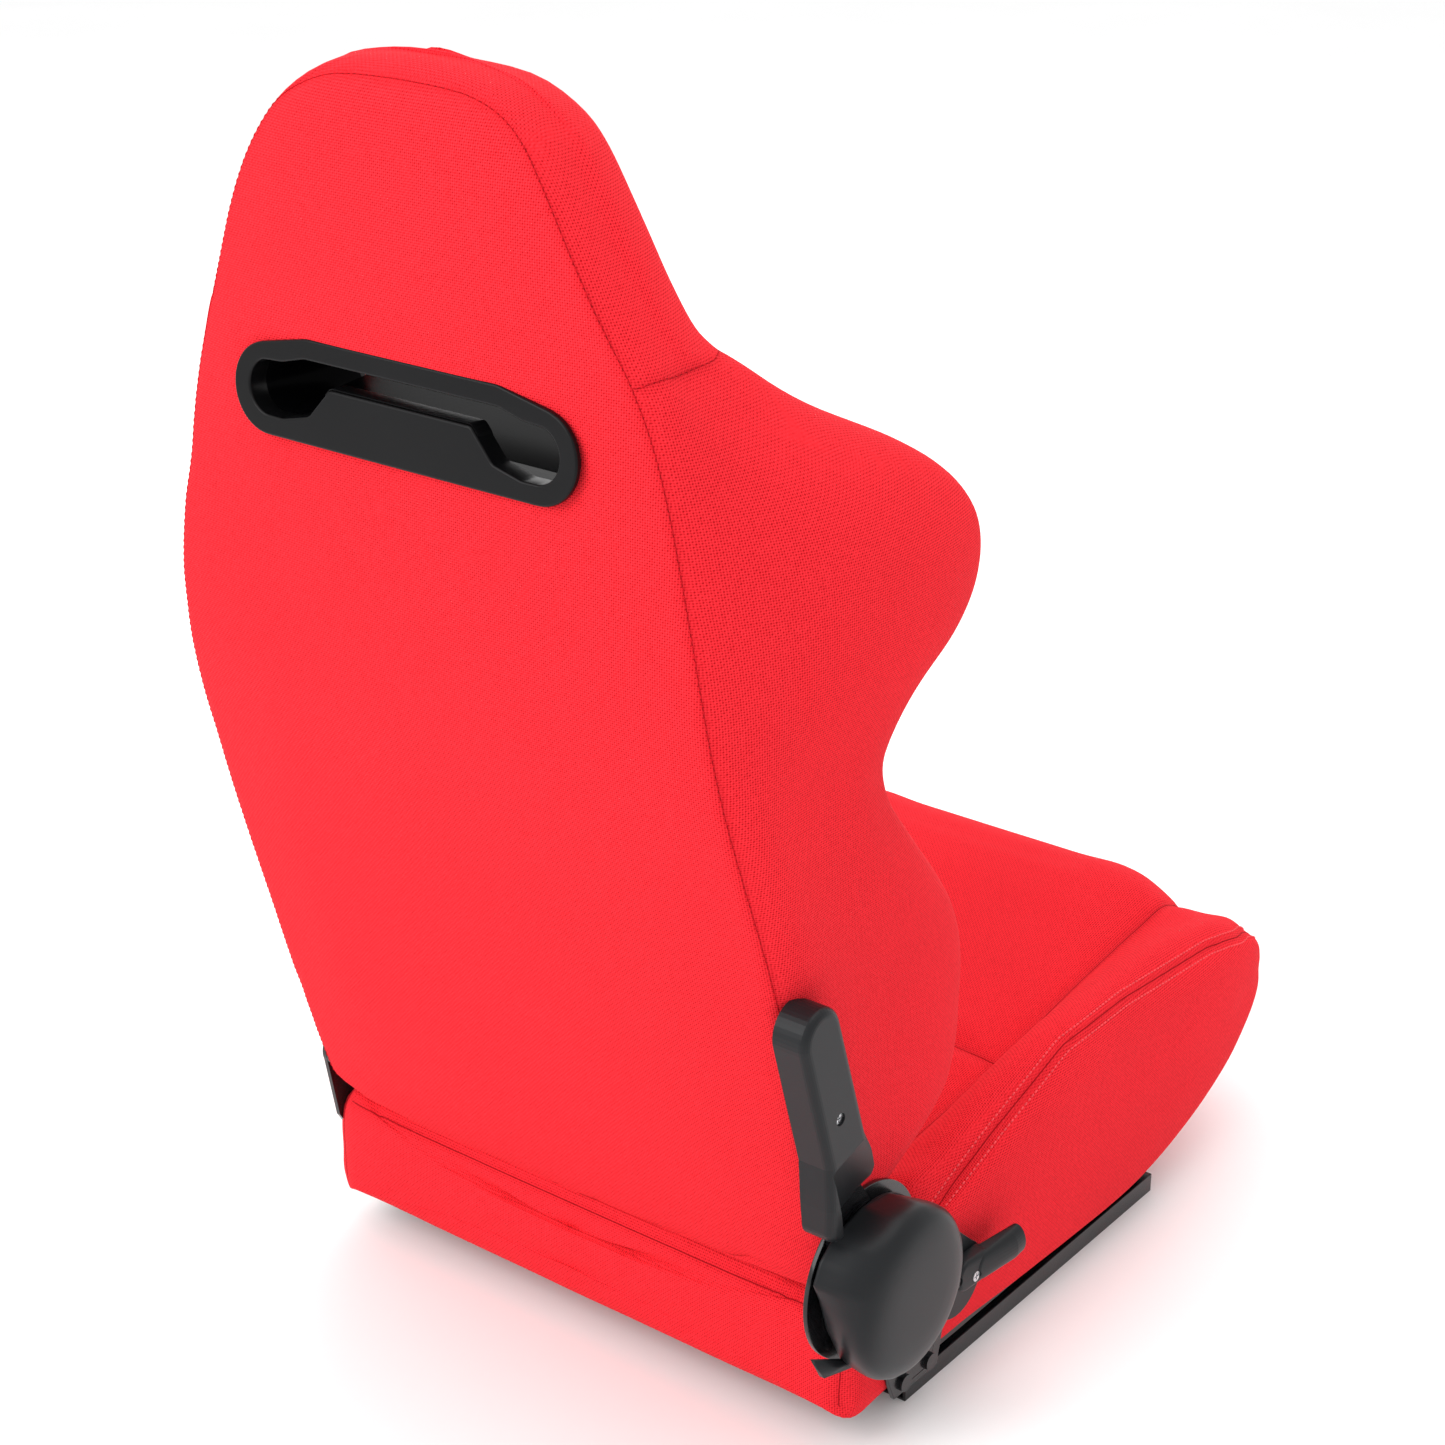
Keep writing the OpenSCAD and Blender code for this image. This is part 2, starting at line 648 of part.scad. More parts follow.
// Bolts that hold the backrest's tubes to the two arms
module arm_bolts() {
  color(steel) for (s = [[-1, arm_x + arm_t], [1, eye_arm_x + eye_t]], p = arm_bolts_at) on_side(s[0]) {
    rod(frame_x + frame_r - 1, s[1], p[0], p[1], arm_bolt_r);
    rod(s[1], s[1] + 2, p[0], p[1], 7);
  }
}

// Solid of the arm cover, made smaller all round by inset; it stops short of the hinge by cover_gap_r
cover_x = 247.2;
cover_gap_r = 77;
recess_x = 269;
module arm_cover_body(inset) {
  top = along_arm(228);
  mid = along_arm(125, -2);
  hull() {
    pebble(cover_x, top[0], top[1], 20 - inset, 26 - inset, 6);
    pebble(cover_x, mid[0], mid[1], 21 - inset, 26 - inset, 6);
  }
  hull() {
    pebble(cover_x, mid[0], mid[1], 21 - inset, 26 - inset, 6);
    for (c = [[95, -13, 14, 26], [93, 14, 12, 26], [75, -28, 10, 21], [74, 17, 12, 24]]) {
      p = along_arm(c[0], c[1]);
      pebble(cover_x, p[0], p[1], c[2] - inset, c[3] - inset, 6);
    }
  }
}

// Block that slopes the lower part of the cover's face inwards, moved in by inset
module cover_facet(inset) {
  p = along_arm(124);
  translate([cover_x + 26 - inset, p[0], p[1]]) rotate([-arm_lean, 0, 0]) rotate([0, 16, 0])
    translate([0, -60, -80]) cube([40, 77 - inset, 80]);
}

module arm_cover() {
  s = along_arm(158);
  color(plastic) on_side(-1) difference() {
    arm_cover_body(0);
    cover_facet(0);
    translate([-1, 0, 0]) difference() {
      arm_cover_body(shell_t);
      cover_facet(shell_t);
      rod(240, 280, s[0], s[1], 6);
    }
    rod(240, 280, s[0], s[1], 2.2);
    rod(recess_x, 280, s[0], s[1], 4.5);
    side_plate_at(230, arm_x + arm_t + 0.3 - 230) translate(s) circle(r = 8);
    side_plate_at(240, 40) spot(hinge_y, hinge_z, cover_gap_r);
    side_plate_at(arm_x - 0.4, arm_t + 0.8) offset(delta = 1) recliner_arm_outline();
  }
}

module cover_screw() {
  s = along_arm(158);
  color(steel) on_side(-1) {
    rod(arm_x, recess_x, s[0], s[1], 2);
    screw_head(recess_x, s[0], s[1], 4.2, 2.5);
  }
}

// ---------- Backrest frame ----------

frame_x = 226;
frame_r = 9;
bar_r = 7;
module back_tube() {
  foot = along_arm(60, -8);
  high = along_arm(250, -8);
  color(black) tube_path([[frame_x, foot[0], foot[1]], [frame_x, high[0], high[1]], [192, 350, 620],
    [158, 352, 790], [80, 358, 905], [0.1, 358, 905]], frame_r);
}

module back_crossbars() {
  color(black) for (p = [[-212, 338, 440], [-168, 351, 690]])
    rod(p[0], -p[0], p[1], p[2], bar_r);
}

module back_springs() {
  color(steel) for (z = [490, 540, 590, 640]) translate([-165, rear_y(z) - crown - 40, z])
    rotate([90, 0, 0]) sinuous(330, 15, 32, 3);
}

// ---------- Backrest cushion ----------

// Ring of a side bolster at one row of BACK
function bolster_ring(r) = let (
    z = r[0], yr = r[1], yf = r[2], ws = r[4], tip = min(bolster_r, (yr - yf) * 0.42, (ws - pad_w) * 0.45),
    pad_y = max(yf + tip, yr - pad_t + crown), in_x = pad_w + 0.3)
  concat([[in_x, yr + crown * 0.45, z], [r[3] - 6, yr + 2, z], [r[3] + 2, yr - 4, z],
    [ws - 1, yr - (yr - yf) * 0.35, z]],
    [for (a = [0 : 22.5 : 180]) [ws - tip + tip * cos(a), yf + tip - tip * sin(a), z]],
    [[in_x + max(0, (ws - 2 * tip - in_x) * 0.35), (yf + tip + 2 * pad_y) / 3 + 1, z], [in_x, pad_y + 2, z]]);

module back_bolster() { color(red) skin([for (r = BACK) bolster_ring(r)]); }

// Side bolster on the plain hinge's side, slotted for the hinge
module slotted_bolster() {
  difference() {
    back_bolster();
    side_plate_at(eye_arm_x - 2.2, 12) spot(hinge_y, hinge_z, eye_r + 13);
    side_plate_at(eye_arm_x - 0.4, eye_t + 3) offset(delta = 1) hinge_arm_outline();
  }
}

// Centre pad, with the belt slot through it
module back_pad() {
  rear = [for (r = BACK) [r[1] + crown * min(1, (r[0] - 130) / 80), r[0]]];
  front = [for (i = [len(BACK) - 1 : -1 : 0]) [max(BACK[i][2], BACK[i][1] + crown - pad_t), BACK[i][0]]];
  color(red) difference() {
    side_plate_at(-pad_w, 2 * pad_w) polygon(concat(rear, front));
    at_slot(-pad_t - 30) linear_extrude(pad_t + 60) slot_outline(shell_t + 0.3);
    at_slot(-0.3) linear_extrude(30) bezel_outline(0.3);
    at_slot(-pad_t - 29.7) linear_extrude(30) bezel_outline(0.3);
  }
}

// Ring of the head at one row of HEAD
function head_ring(r) = let (z = r[0], yr = r[1], yf = r[2], w = r[3], k = min(26, (yr - yf) * 0.45, w * 0.6))
  concat([[0, yr + crown * 0.8, z], [w * 0.6, yr + crown * 0.5, z], [w - 4, yr + 1, z], [w + 3, yr - 6, z],
      [w + 5, (yr + yf) / 2, z]],
    [for (a = [0 : 22.5 : 90]) [w + 5 - k + k * cos(a), yf + k - k * sin(a), z]],
    [for (a = [90 : 22.5 : 180]) [-w - 5 + k + k * cos(a), yf + k - k * sin(a), z]],
    [[-w - 5, (yr + yf) / 2, z], [-w - 3, yr - 6, z], [-w + 4, yr + 1, z], [-w * 0.6, yr + crown * 0.5, z]]);

module head_pad() { color(red) skin([for (r = HEAD) head_ring(r)]); }

// ---------- Belt slot ----------

// Slot frame: children drawn in X and height about the slot's centre, starting d out from the backrest's rear
module at_slot(d) {
  translate([0, rear_y(slot_z), slot_z]) rotate([90 - slot_lean, 0, 180]) translate([0, 0, d]) children();
}

module bezel_outline(grow) {
  for (s = [-1, 1]) translate([s * 113, -3]) circle(r = 30 + grow);
  polygon([[-113, -33 - grow], [113, -33 - grow], [121 + grow, 25.9 + grow], [79, 34.5 + grow],
    [-79, 34.5 + grow], [-121 - grow, 25.9 + grow]]);
}

module slot_outline(grow) {
  for (s = [-1, 1]) translate([s * (slot_w - 18), -2]) circle(r = 18 + grow);
  polygon([[-slot_w + 18, -slot_h - grow], [slot_w - 18, -slot_h - grow], [slot_w - 12 + grow / 2, 15 + grow],
    [slot_w - 29, 16 + grow], [81, slot_h + 1 + grow], [-81, slot_h + 1 + grow], [29 - slot_w, 16 + grow],
    [12 - slot_w - grow / 2, 15 + grow]]);
}

// Flap that closes the lower middle of the rear opening
module flap_outline() {
  polygon([[-109, -slot_h - 2], [109, -slot_h - 2], [77, -14.5], [73, -10], [59, 5.5], [-59, 5.5], [-73, -10],
    [-77, -14.5]]);
}

bezel_t = 4;
module rear_bezel() {
  color(plastic) at_slot(0) linear_extrude(bezel_t) difference() {
    bezel_outline(0);
    difference() {
      slot_outline(0);
      flap_outline();
    }
  }
}

module front_bezel() {
  color(plastic) at_slot(-pad_t - bezel_t) linear_extrude(bezel_t) difference() {
    bezel_outline(0);
    slot_outline(0);
  }
}

// Its floor rises towards the front, so that a belt slides over an easy ramp
module belt_tunnel() {
  color(black) at_slot(0.25 - pad_t) {
    linear_extrude(pad_t - 0.5) difference() {
      slot_outline(shell_t);
      slot_outline(0);
    }
    rotate([0, -90, 0]) linear_extrude(2 * slot_w - 24, center = true)
      polygon([[0, -slot_h - 0.5], [70, -slot_h - 0.5], [0, -slot_h + 11]]);
  }
}

// ---------- Nodes ----------

on_side(1) lower_rail();  // lower_rail_l
on_side(-1) lower_rail();  // lower_rail_r
on_side(1) upper_rail();  // upper_rail_l
on_side(-1) upper_rail();  // upper_rail_r
on_side(1) ball_cage();  // ball_cage_l
on_side(-1) ball_cage();  // ball_cage_r
rail_balls();
on_side(1) base_member();  // base_member_l
on_side(-1) base_member();  // base_member_r
cross_tube(cross_y[0]);  // front_cross_tube
cross_tube(cross_y[1]);  // rear_cross_tube
rail_bolts();
seat_springs();
seat_pad();
slotted_thigh_bolster();  // thigh_bolster_l
on_side(-1) thigh_bolster();  // thigh_bolster_r
recliner_plate();
hinge_bracket();
plate_bolts();
hinge_pins();
return_spring();
inner_cover();
round_cover();
slide_handle();
handle_pins();
handle_springs();
latch_plates();
release_pin();
release_cam();
lever_arm();
lever_grip();
lever_screw();
pawl();
pawl_pin();
recliner_arm();
hinge_arm();
arm_bolts();
arm_cover();
cover_screw();
on_side(1) back_tube();  // back_tube_l
on_side(-1) back_tube();  // back_tube_r
back_crossbars();
back_springs();
back_pad();
slotted_bolster();  // back_bolster_l
on_side(-1) back_bolster();  // back_bolster_r
head_pad();
belt_tunnel();
rear_bezel();
front_bezel();
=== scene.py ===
"""The racing seat's looks: upholstery, stitching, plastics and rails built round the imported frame.

Shapes are written in millimetres in the frame's own axes (-Y front, +Z up, X = 0 the middle of the
seat) and scaled to metres as each mesh is made.
"""

import json
import math

import bmesh
import bpy
import numpy as np
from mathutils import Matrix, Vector
from mathutils.bvhtree import BVHTree
from mathutils.kdtree import KDTree


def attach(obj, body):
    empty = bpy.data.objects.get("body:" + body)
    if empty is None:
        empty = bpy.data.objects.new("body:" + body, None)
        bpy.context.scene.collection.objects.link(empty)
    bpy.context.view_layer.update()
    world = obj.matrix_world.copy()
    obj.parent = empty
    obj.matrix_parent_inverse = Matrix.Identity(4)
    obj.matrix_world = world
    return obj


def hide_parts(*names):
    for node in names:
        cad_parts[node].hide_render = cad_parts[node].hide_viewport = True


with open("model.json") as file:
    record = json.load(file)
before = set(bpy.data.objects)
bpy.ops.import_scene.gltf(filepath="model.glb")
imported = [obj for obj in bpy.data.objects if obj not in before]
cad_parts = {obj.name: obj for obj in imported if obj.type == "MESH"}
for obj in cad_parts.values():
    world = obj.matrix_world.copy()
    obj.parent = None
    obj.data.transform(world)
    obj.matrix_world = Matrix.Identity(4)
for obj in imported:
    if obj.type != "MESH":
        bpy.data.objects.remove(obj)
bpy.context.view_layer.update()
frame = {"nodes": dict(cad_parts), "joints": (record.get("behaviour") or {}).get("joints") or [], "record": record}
MM = 0.001
HINGE = Vector(next(j["pos_m"] for j in frame["joints"] if j["name"] == "backrest_recline")) / MM

# ---------- Camera, floor and light ----------

EYE = Vector((-1.1727, 1.5932, 1.2697))
LOOK = Vector((0.56224, -0.72468, -0.39840))
LENS_MM = 70.95
SENSOR_MM = 36


def add_camera():
    camera = bpy.data.objects.new("camera", bpy.data.cameras.new("camera"))
    camera.data.lens = LENS_MM
    camera.data.sensor_width = SENSOR_MM
    camera.location = EYE
    camera.rotation_euler = LOOK.to_track_quat("-Z", "Y").to_euler()
    bpy.context.scene.collection.objects.link(camera)
    bpy.context.scene.camera = camera


def add_light(name, place, target, size, watts):
    light = bpy.data.lights.new(name, "AREA")
    light.size = size
    light.energy = watts
    holder = bpy.data.objects.new(name, light)
    holder.location = place
    holder.rotation_euler = (Vector(target) - Vector(place)).to_track_quat("-Z", "Y").to_euler()
    bpy.context.scene.collection.objects.link(holder)


def add_studio():
    bpy.ops.mesh.primitive_grid_add(size=40, x_subdivisions=2, y_subdivisions=2)
    floor = bpy.context.object
    floor.name = "floor"
    floor.data.materials.append(plain_material("floor", (0.97, 0.97, 0.97), 0.95))
    world = bpy.data.worlds.new("studio")
    world.use_nodes = True
    world.node_tree.nodes["Background"].inputs[0].default_value = (1, 1, 1, 1)
    world.node_tree.nodes["Background"].inputs[1].default_value = 1.0
    bpy.context.scene.world = world
    bpy.context.scene.view_settings.view_transform = "Standard"
    add_light("key", (0.9, 2.6, 2.0), (0, 0.2, 0.5), 2.2, 56)
    add_light("top", (-0.3, -0.3, 3.2), (0, 0, 0.4), 2.6, 34)
    add_light("front", (1.5, -2.6, 2.0), (0, 0, 0.4), 2.5, 20)


# ---------- Materials ----------

# Height of the twill and its colour there, from the ground between its yarns up to their crests
TWILL = (
    (0.05, (0.36, 0.003, 0.007)),
    (0.42, (0.77, 0.018, 0.027)),
    (0.8, (0.90, 0.030, 0.044)),
)
# Colour of the painted shade that darkens the cloth along its sunk seams
CREASE_SHADE_COLOUR = (0.30, 0.002, 0.006, 1)
# Sine of the angle at which the yarns cross the object's axes
DIAGONAL = 0.7071


class Tree:
    """A material's node tree, with one short call for each node it needs."""

    def __init__(self, name):
        self.material = bpy.data.materials.new(name)
        self.material.use_nodes = True
        self.nodes = self.material.node_tree.nodes
        self.links = self.material.node_tree.links
        self.shader = self.nodes["Principled BSDF"]

    def put(self, value, socket):
        if isinstance(value, bpy.types.NodeSocket):
            self.links.new(value, socket)
        else:
            socket.default_value = value

    def set(self, **inputs):
        for name, value in inputs.items():
            self.put(value, self.shader.inputs[name.replace("_", " ")])

    def node(self, kind, *inputs, **settings):
        node = self.nodes.new("ShaderNode" + kind)
        for name, value in settings.items():
            setattr(node, name, value)
        for socket, value in zip(node.inputs, inputs):
            self.put(value, socket)
        return node

    def math(self, operation, a, b=0.0):
        return self.node("Math", a, b, operation=operation).outputs[0]

    def noise(self, scale, detail=2.0):
        node = self.node("TexNoise", self.node("TexCoord").outputs["Object"])
        node.inputs["Scale"].default_value = scale
        node.inputs["Detail"].default_value = detail
        return node.outputs["Fac"]

    def ramp(self, factor, *stops):
        node = self.node("ValToRGB", factor)
        while len(node.color_ramp.elements) < len(stops):
            node.color_ramp.elements.new(1.0)
        for element, (place, colour) in zip(node.color_ramp.elements, stops):
            element.position = place
            element.color = (*colour, 1.0)
        return node.outputs[0]

    def mix(self, factor, a, b, blend="MIX"):
        node = self.node("Mix", data_type="RGBA", blend_type=blend)
        for index, value in ((0, factor), (6, a), (7, b)):
            self.put(value, node.inputs[index])
        return node.outputs[2]

    def bump(self, height, strength, distance, under=None):
        node = self.node("Bump")
        node.inputs["Strength"].default_value = strength
        node.inputs["Distance"].default_value = distance
        self.put(height, node.inputs["Height"])
        if under is not None:
            self.put(under, node.inputs["Normal"])
        return node.outputs[0]


def plain_material(name, colour, roughness):
    tree = Tree(name)
    grain = tree.noise(3.0)
    tone = tree.ramp(grain, (0.3, [c * 0.985 for c in colour]), (0.7, colour))
    tree.set(Base_Color=tone, Roughness=roughness)
    return tree.material


def woven(tree, first, second, turns):
    """Height of the twill over two of the object's axes: yarn crossings, and ribs across them."""
    a = tree.math("MULTIPLY", tree.math("ADD", first, second), turns)
    b = tree.math("MULTIPLY", tree.math("SUBTRACT", first, second), turns)
    yarn = tree.math("MULTIPLY", tree.math("SINE", a), tree.math("SINE", b))
    crossings = tree.math("MULTIPLY", yarn, 0.42)
    ribs = tree.math("MULTIPLY", tree.math("SINE", a), 0.12)
    return tree.math("ADD", crossings, ribs)


def fabric_material(name, pitch):
    """Red twill: yarns raised on a diagonal grid over a darker ground, seen along the nearest axis.

    Pitch is the distance between yarns in metres. The crease attribute paints shade into the cloth's colour along
    a seam.
    """
    tree = Tree(name)
    coordinate = tree.node("TexCoord")
    place = tree.node("SeparateXYZ", coordinate.outputs["Object"]).outputs
    facing = tree.node("SeparateXYZ", coordinate.outputs["Normal"]).outputs
    turns = 2 * math.pi / pitch * DIAGONAL
    shares = [tree.math("POWER", tree.math("ABSOLUTE", side), 8.0) for side in facing[:3]]
    level, upright = tree.math("ADD", shares[0], shares[1]), tree.math("ADD", shares[2], 0.0001)
    total = tree.math("ADD", level, upright)
    height = None
    for share, first, second in zip(shares, (1, 0, 0), (2, 2, 1)):
        part = tree.math("MULTIPLY", woven(tree, place[first], place[second], turns), share)
        height = part if height is None else tree.math("ADD", height, part)
    height = tree.math("DIVIDE", height, total)
    slub = tree.math("MULTIPLY", tree.noise(420.0), 0.5)
    height = tree.math("ADD", tree.math("ADD", height, slub), 0.25)
    weave = tree.ramp(height, *TWILL)
    wear = tree.ramp(tree.noise(5.0, 4.0), (0.35, (0.93, 0.93, 0.93)), (0.65, (1, 1, 1)))
    toned = tree.mix(1.0, weave, wear, "MULTIPLY")
    # Painted shade: the cloth darkens towards the shade colour along the sunk seams, by the crease attribute
    painted_crease_shade = tree.node("Attribute", attribute_name="painted_crease_shade").outputs["Fac"]
    colour = tree.mix(tree.math("MULTIPLY", painted_crease_shade, 0.75), toned, CREASE_SHADE_COLOUR)
    soft = tree.bump(tree.noise(38.0, 3.0), 0.10, 0.004)
    tree.set(Base_Color=colour, Roughness=0.85, Specular_IOR_Level=0.06)
    tree.set(Sheen_Weight=0.03, Sheen_Roughness=0.5, Sheen_Tint=(1.0, 0.3, 0.3, 1))
    tree.set(Normal=tree.bump(height, 0.5, 0.0006, soft))
    return tree.material


def thread_material(name, colour):
    """Sewing thread: the ply shows as fine darker bands and a slight bump."""
    tree = Tree(name)
    ply = tree.noise(900.0, 1.0)
    tone = tree.ramp(ply, (0.3, [c * 0.6 for c in colour]), (0.65, colour))
    tree.set(Base_Color=tone, Roughness=0.75, Specular_IOR_Level=0.06)
    tree.set(Normal=tree.bump(ply, 0.4, 0.0003))
    return tree.material


def plastic_material(name, colour, roughness, grain, scuff, specular=0.2):
    """Moulded plastic: fine grain in its bump, uneven gloss, and faint pale rub marks."""
    tree = Tree(name)
    fine = tree.noise(1400.0, 1.0)
    cloud = tree.noise(9.0, 5.0)
    tone = tree.ramp(cloud, (0.3, [c * 0.85 for c in colour]), (0.75, [c * 1.12 for c in colour]))
    rubbed = tree.ramp(tree.noise(55.0, 6.0), (0.62, (0, 0, 0)), (0.86, (scuff, scuff, scuff)))
    tone = tree.mix(rubbed, tone, (*[min(1.0, c * 1.6 + 0.01) for c in colour], 1))
    gloss = tree.math("ADD", tree.math("MULTIPLY", cloud, 0.14), roughness - 0.07)
    tree.set(Base_Color=tone, Roughness=gloss, Specular_IOR_Level=specular)
    tree.set(Normal=tree.bump(fine, grain, 0.0002))
    return tree.material


def metal_material(name, colour, roughness):
    """Zinc-plated steel with a drawn grain and a mottled film."""
    tree = Tree(name)
    film = tree.noise(80.0, 4.0)
    tone = tree.ramp(film, (0.3, [c * 0.8 for c in colour]), (0.7, colour))
    gloss = tree.math("ADD", tree.math("MULTIPLY", film, 0.2), roughness - 0.1)
    tree.set(Base_Color=tone, Metallic=1.0, Roughness=gloss)
    tree.set(Normal=tree.bump(tree.noise(600.0), 0.12, 0.0002))
    return tree.material


def paint_material(name, colour, roughness):
    """Black gloss paint on steel, with slight orange peel and a clear coat."""
    tree = Tree(name)
    peel = tree.noise(240.0, 1.0)
    dust = tree.ramp(tree.noise(14.0, 6.0), (0.45, colour), (0.9, [c + 0.012 for c in colour]))
    tree.set(Base_Color=dust, Roughness=roughness, Specular_IOR_Level=0.3)
    tree.set(Coat_Weight=0.25, Coat_Roughness=0.1, Normal=tree.bump(peel, 0.12, 0.0003))
    return tree.material


# ---------- Curves and skins ----------

# Longest step between the rows of a skin
ROW_STEP = 8.5
# Frames that the padding simulation runs for, and the most that it moves a point
PADDING_FRAMES = 20
PADDING_CAP = 5
# Distance from a seam within which the cloth is held, the more the nearer
HELD_WIDTH = 14
# Distance from a seam where the cloth starts fully drawn in, and that depth as a share of the cap
FREE_WIDTH = 40
START_SHARE = 0.5
# How far inside the modelled skin a point may end
MOST_SHRUNK = 0.5
# Painted shade in the crease at a sunk seam: how dark it gets at the seam, and the width over which that fades
CREASE_SHADE = 0.35
CREASE_WIDTH = 4.0
# Thread: sides of its section, and each station of a stitch with its share of the full radius
THREAD_SIDES = 6
STITCH = ((-0.5, 0.3), (-0.4, 0.8), (0.0, 1.0), (0.4, 0.8), (0.5, 0.3))
# How far the middle of a stitch stands up, in radii, and how steeply it dips towards its ends
STITCH_LIFT = 0.55
STITCH_DIP = 2.2
# Height of a seam's roll as a share of its width
ROLL_FLAT = 0.6


def hermite(points, fractions, closed_ends=None):
    """Points on a smooth curve through points, at the given fractions of each of its spans.

    closed_ends gives the neighbours before the first and after the last point; without it the
    curve ends straight.
    """
    points = np.asarray(points, float)
    before, after = closed_ends or (2 * points[0] - points[1], 2 * points[-1] - points[-2])
    padded = np.concatenate([before[None], points, after[None]])
    chords = np.diff(padded, axis=0)
    flat = chords.reshape(len(chords), -1, chords.shape[-1])
    lengths = np.maximum(np.linalg.norm(flat, axis=2).mean(1), 1e-6)
    shape = (-1,) + (1,) * (points.ndim - 1)
    slopes = chords / lengths.reshape(shape)
    weight = (lengths[:-1] / (lengths[:-1] + lengths[1:])).reshape(shape)
    tangents = slopes[:-1] * (1 - weight) + slopes[1:] * weight
    out = []
    for i, span in enumerate(fractions):
        h = lengths[i + 1]
        for t in span:
            a, b = 2 * t**3 - 3 * t**2 + 1, t**3 - 2 * t**2 + t
            c, d = -2 * t**3 + 3 * t**2, t**3 - t**2
            here = a * points[i] + b * h * tangents[i]
            out.append(here + c * points[i + 1] + d * h * tangents[i + 1])
    out.append(points[-1])
    return np.array(out)


def even(count):
    return [i / count for i in range(count)]


def mesh_object(name, points, faces, material):
    """A smooth-shaded mesh object from points in mm."""
    mesh = bpy.data.meshes.new(name)
    mesh.from_pydata((np.asarray(points) * MM).tolist(), [], faces)
    mesh.polygons.foreach_set("use_smooth", [True] * len(mesh.polygons))
    mesh.materials.append(material)
    mesh.update()
    piece = bpy.data.objects.new(name, mesh)
    bpy.context.scene.collection.objects.link(piece)
    return piece


def lofted(name, halves, material):
    """A closed skin through rows of half-outlines (X from 0 round to 0 again), mirrored in X.

    The first and last rows are closed straight across.
    """
    halves = np.asarray(halves)
    rows, count = halves.shape[:2]
    rings = np.concatenate([halves, mirrored(halves[:, -2:0:-1])], axis=1)
    around = rings.shape[1]
    faces = []
    for i in range(rows - 1):
        for j in range(around):
            k = (j + 1) % around
            a, b = i * around, (i + 1) * around
            faces.append((a + j, a + k, b + k, b + j))
    for i, flip in ((0, True), (rows - 1, False)):
        for j in range(count - 1):
            corners = [j, j + 1, (around - j - 1) % around, (around - j) % around]
            corners = [i * around + c for c in dict.fromkeys(corners)]
            if len(corners) > 2:
                faces.append(corners[::-1] if flip else corners)
    return mesh_object(name, rings.reshape(-1, 3), faces, material)


def vertex_values(piece, field):
    """A vector field of the piece's vertices, such as co or normal, as one row a vertex."""
    flat = np.empty(len(piece.data.vertices) * 3, np.float32)
    piece.data.vertices.foreach_get(field, flat)
    return flat.reshape(-1, 3).astype(float)


def coordinates(piece):
    return vertex_values(piece, "co")


def normals(piece):
    return vertex_values(piece, "normal")


def set_coordinates(piece, places):
    piece.data.vertices.foreach_set("co", np.asarray(places, np.float32).ravel())
    piece.data.update()


def apply_modifiers(piece):
    graph = bpy.context.evaluated_depsgraph_get()
    mesh = bpy.data.meshes.new_from_object(piece.evaluated_get(graph))
    old = piece.data
    piece.modifiers.clear()
    piece.data = mesh
    bpy.data.meshes.remove(old)
    piece.data.name = piece.name


def subdivide(piece):
    modifier = piece.modifiers.new("smooth", "SUBSURF")
    modifier.levels = modifier.render_levels = 1
    apply_modifiers(piece)


def nearest_distance(places, lines):
    """How far each place is from the nearest of lines, in the units of places."""
    points = np.concatenate(lines)
    tree = KDTree(len(points))
    for i, p in enumerate(points):
        tree.insert(p, i)
    tree.balance()
    return np.array([tree.find(p)[2] for p in places])


def inflate(piece, seams):
    """Blows the padded piece out between its seams with a cloth simulation.

    The seams are lines in metres. No point moves more than PADDING_CAP.
    """
    rest = coordinates(piece)
    distance = nearest_distance(rest, seams) / MM
    outward = normals(piece)
    inset = PADDING_CAP * START_SHARE * MM * np.clip(distance / FREE_WIDTH, 0, 1)
    start = rest - outward * inset[:, None]
    set_coordinates(piece, start)
    group = piece.vertex_groups.new(name="held")
    for i, d in enumerate(distance):
        weight = max(0.0, 1 - d / HELD_WIDTH)
        if weight > 0:
            group.add([i], weight, "REPLACE")
    cloth = piece.modifiers.new("padding", "CLOTH")
    cloth.settings.quality = 4
    cloth.settings.mass = 0.3
    cloth.settings.tension_stiffness = cloth.settings.compression_stiffness = 20
    cloth.settings.shear_stiffness = 8
    cloth.settings.bending_stiffness = 1.5
    cloth.settings.use_pressure = True
    cloth.settings.uniform_pressure_force = 4.0
    cloth.settings.vertex_group_mass = "held"
    cloth.settings.effector_weights.gravity = 0
    cloth.point_cache.frame_start = 1
    cloth.point_cache.frame_end = PADDING_FRAMES
    scene = bpy.context.scene
    for number in range(1, PADDING_FRAMES + 1):
        scene.frame_set(number)
    graph = bpy.context.evaluated_depsgraph_get()
    blown = np.array([v.co for v in piece.evaluated_get(graph).data.vertices], float)
    scene.frame_set(1)
    piece.modifiers.clear()
    piece.vertex_groups.clear()
    move = blown - start
    size = np.linalg.norm(move, axis=1)
    move *= np.minimum(1, PADDING_CAP * MM / np.maximum(size, 1e-9))[:, None]
    places = start + move
    shrunk = np.maximum(0, -MOST_SHRUNK * MM - ((places - rest) * outward).sum(1))
    set_coordinates(piece, places + outward * shrunk[:, None])


def surface_of(piece):
    graph = bpy.context.evaluated_depsgraph_get()
    return BVHTree.FromObject(piece, graph)


def resampled(line, step):
    line = np.asarray(line, float)
    lengths = np.concatenate([[0], np.cumsum(np.linalg.norm(np.diff(line, axis=0), axis=1))])
    wanted = np.linspace(0, lengths[-1], max(2, int(round(lengths[-1] / step)) + 1))
    return np.stack([np.interp(wanted, lengths, line[:, k]) for k in range(3)], axis=1)


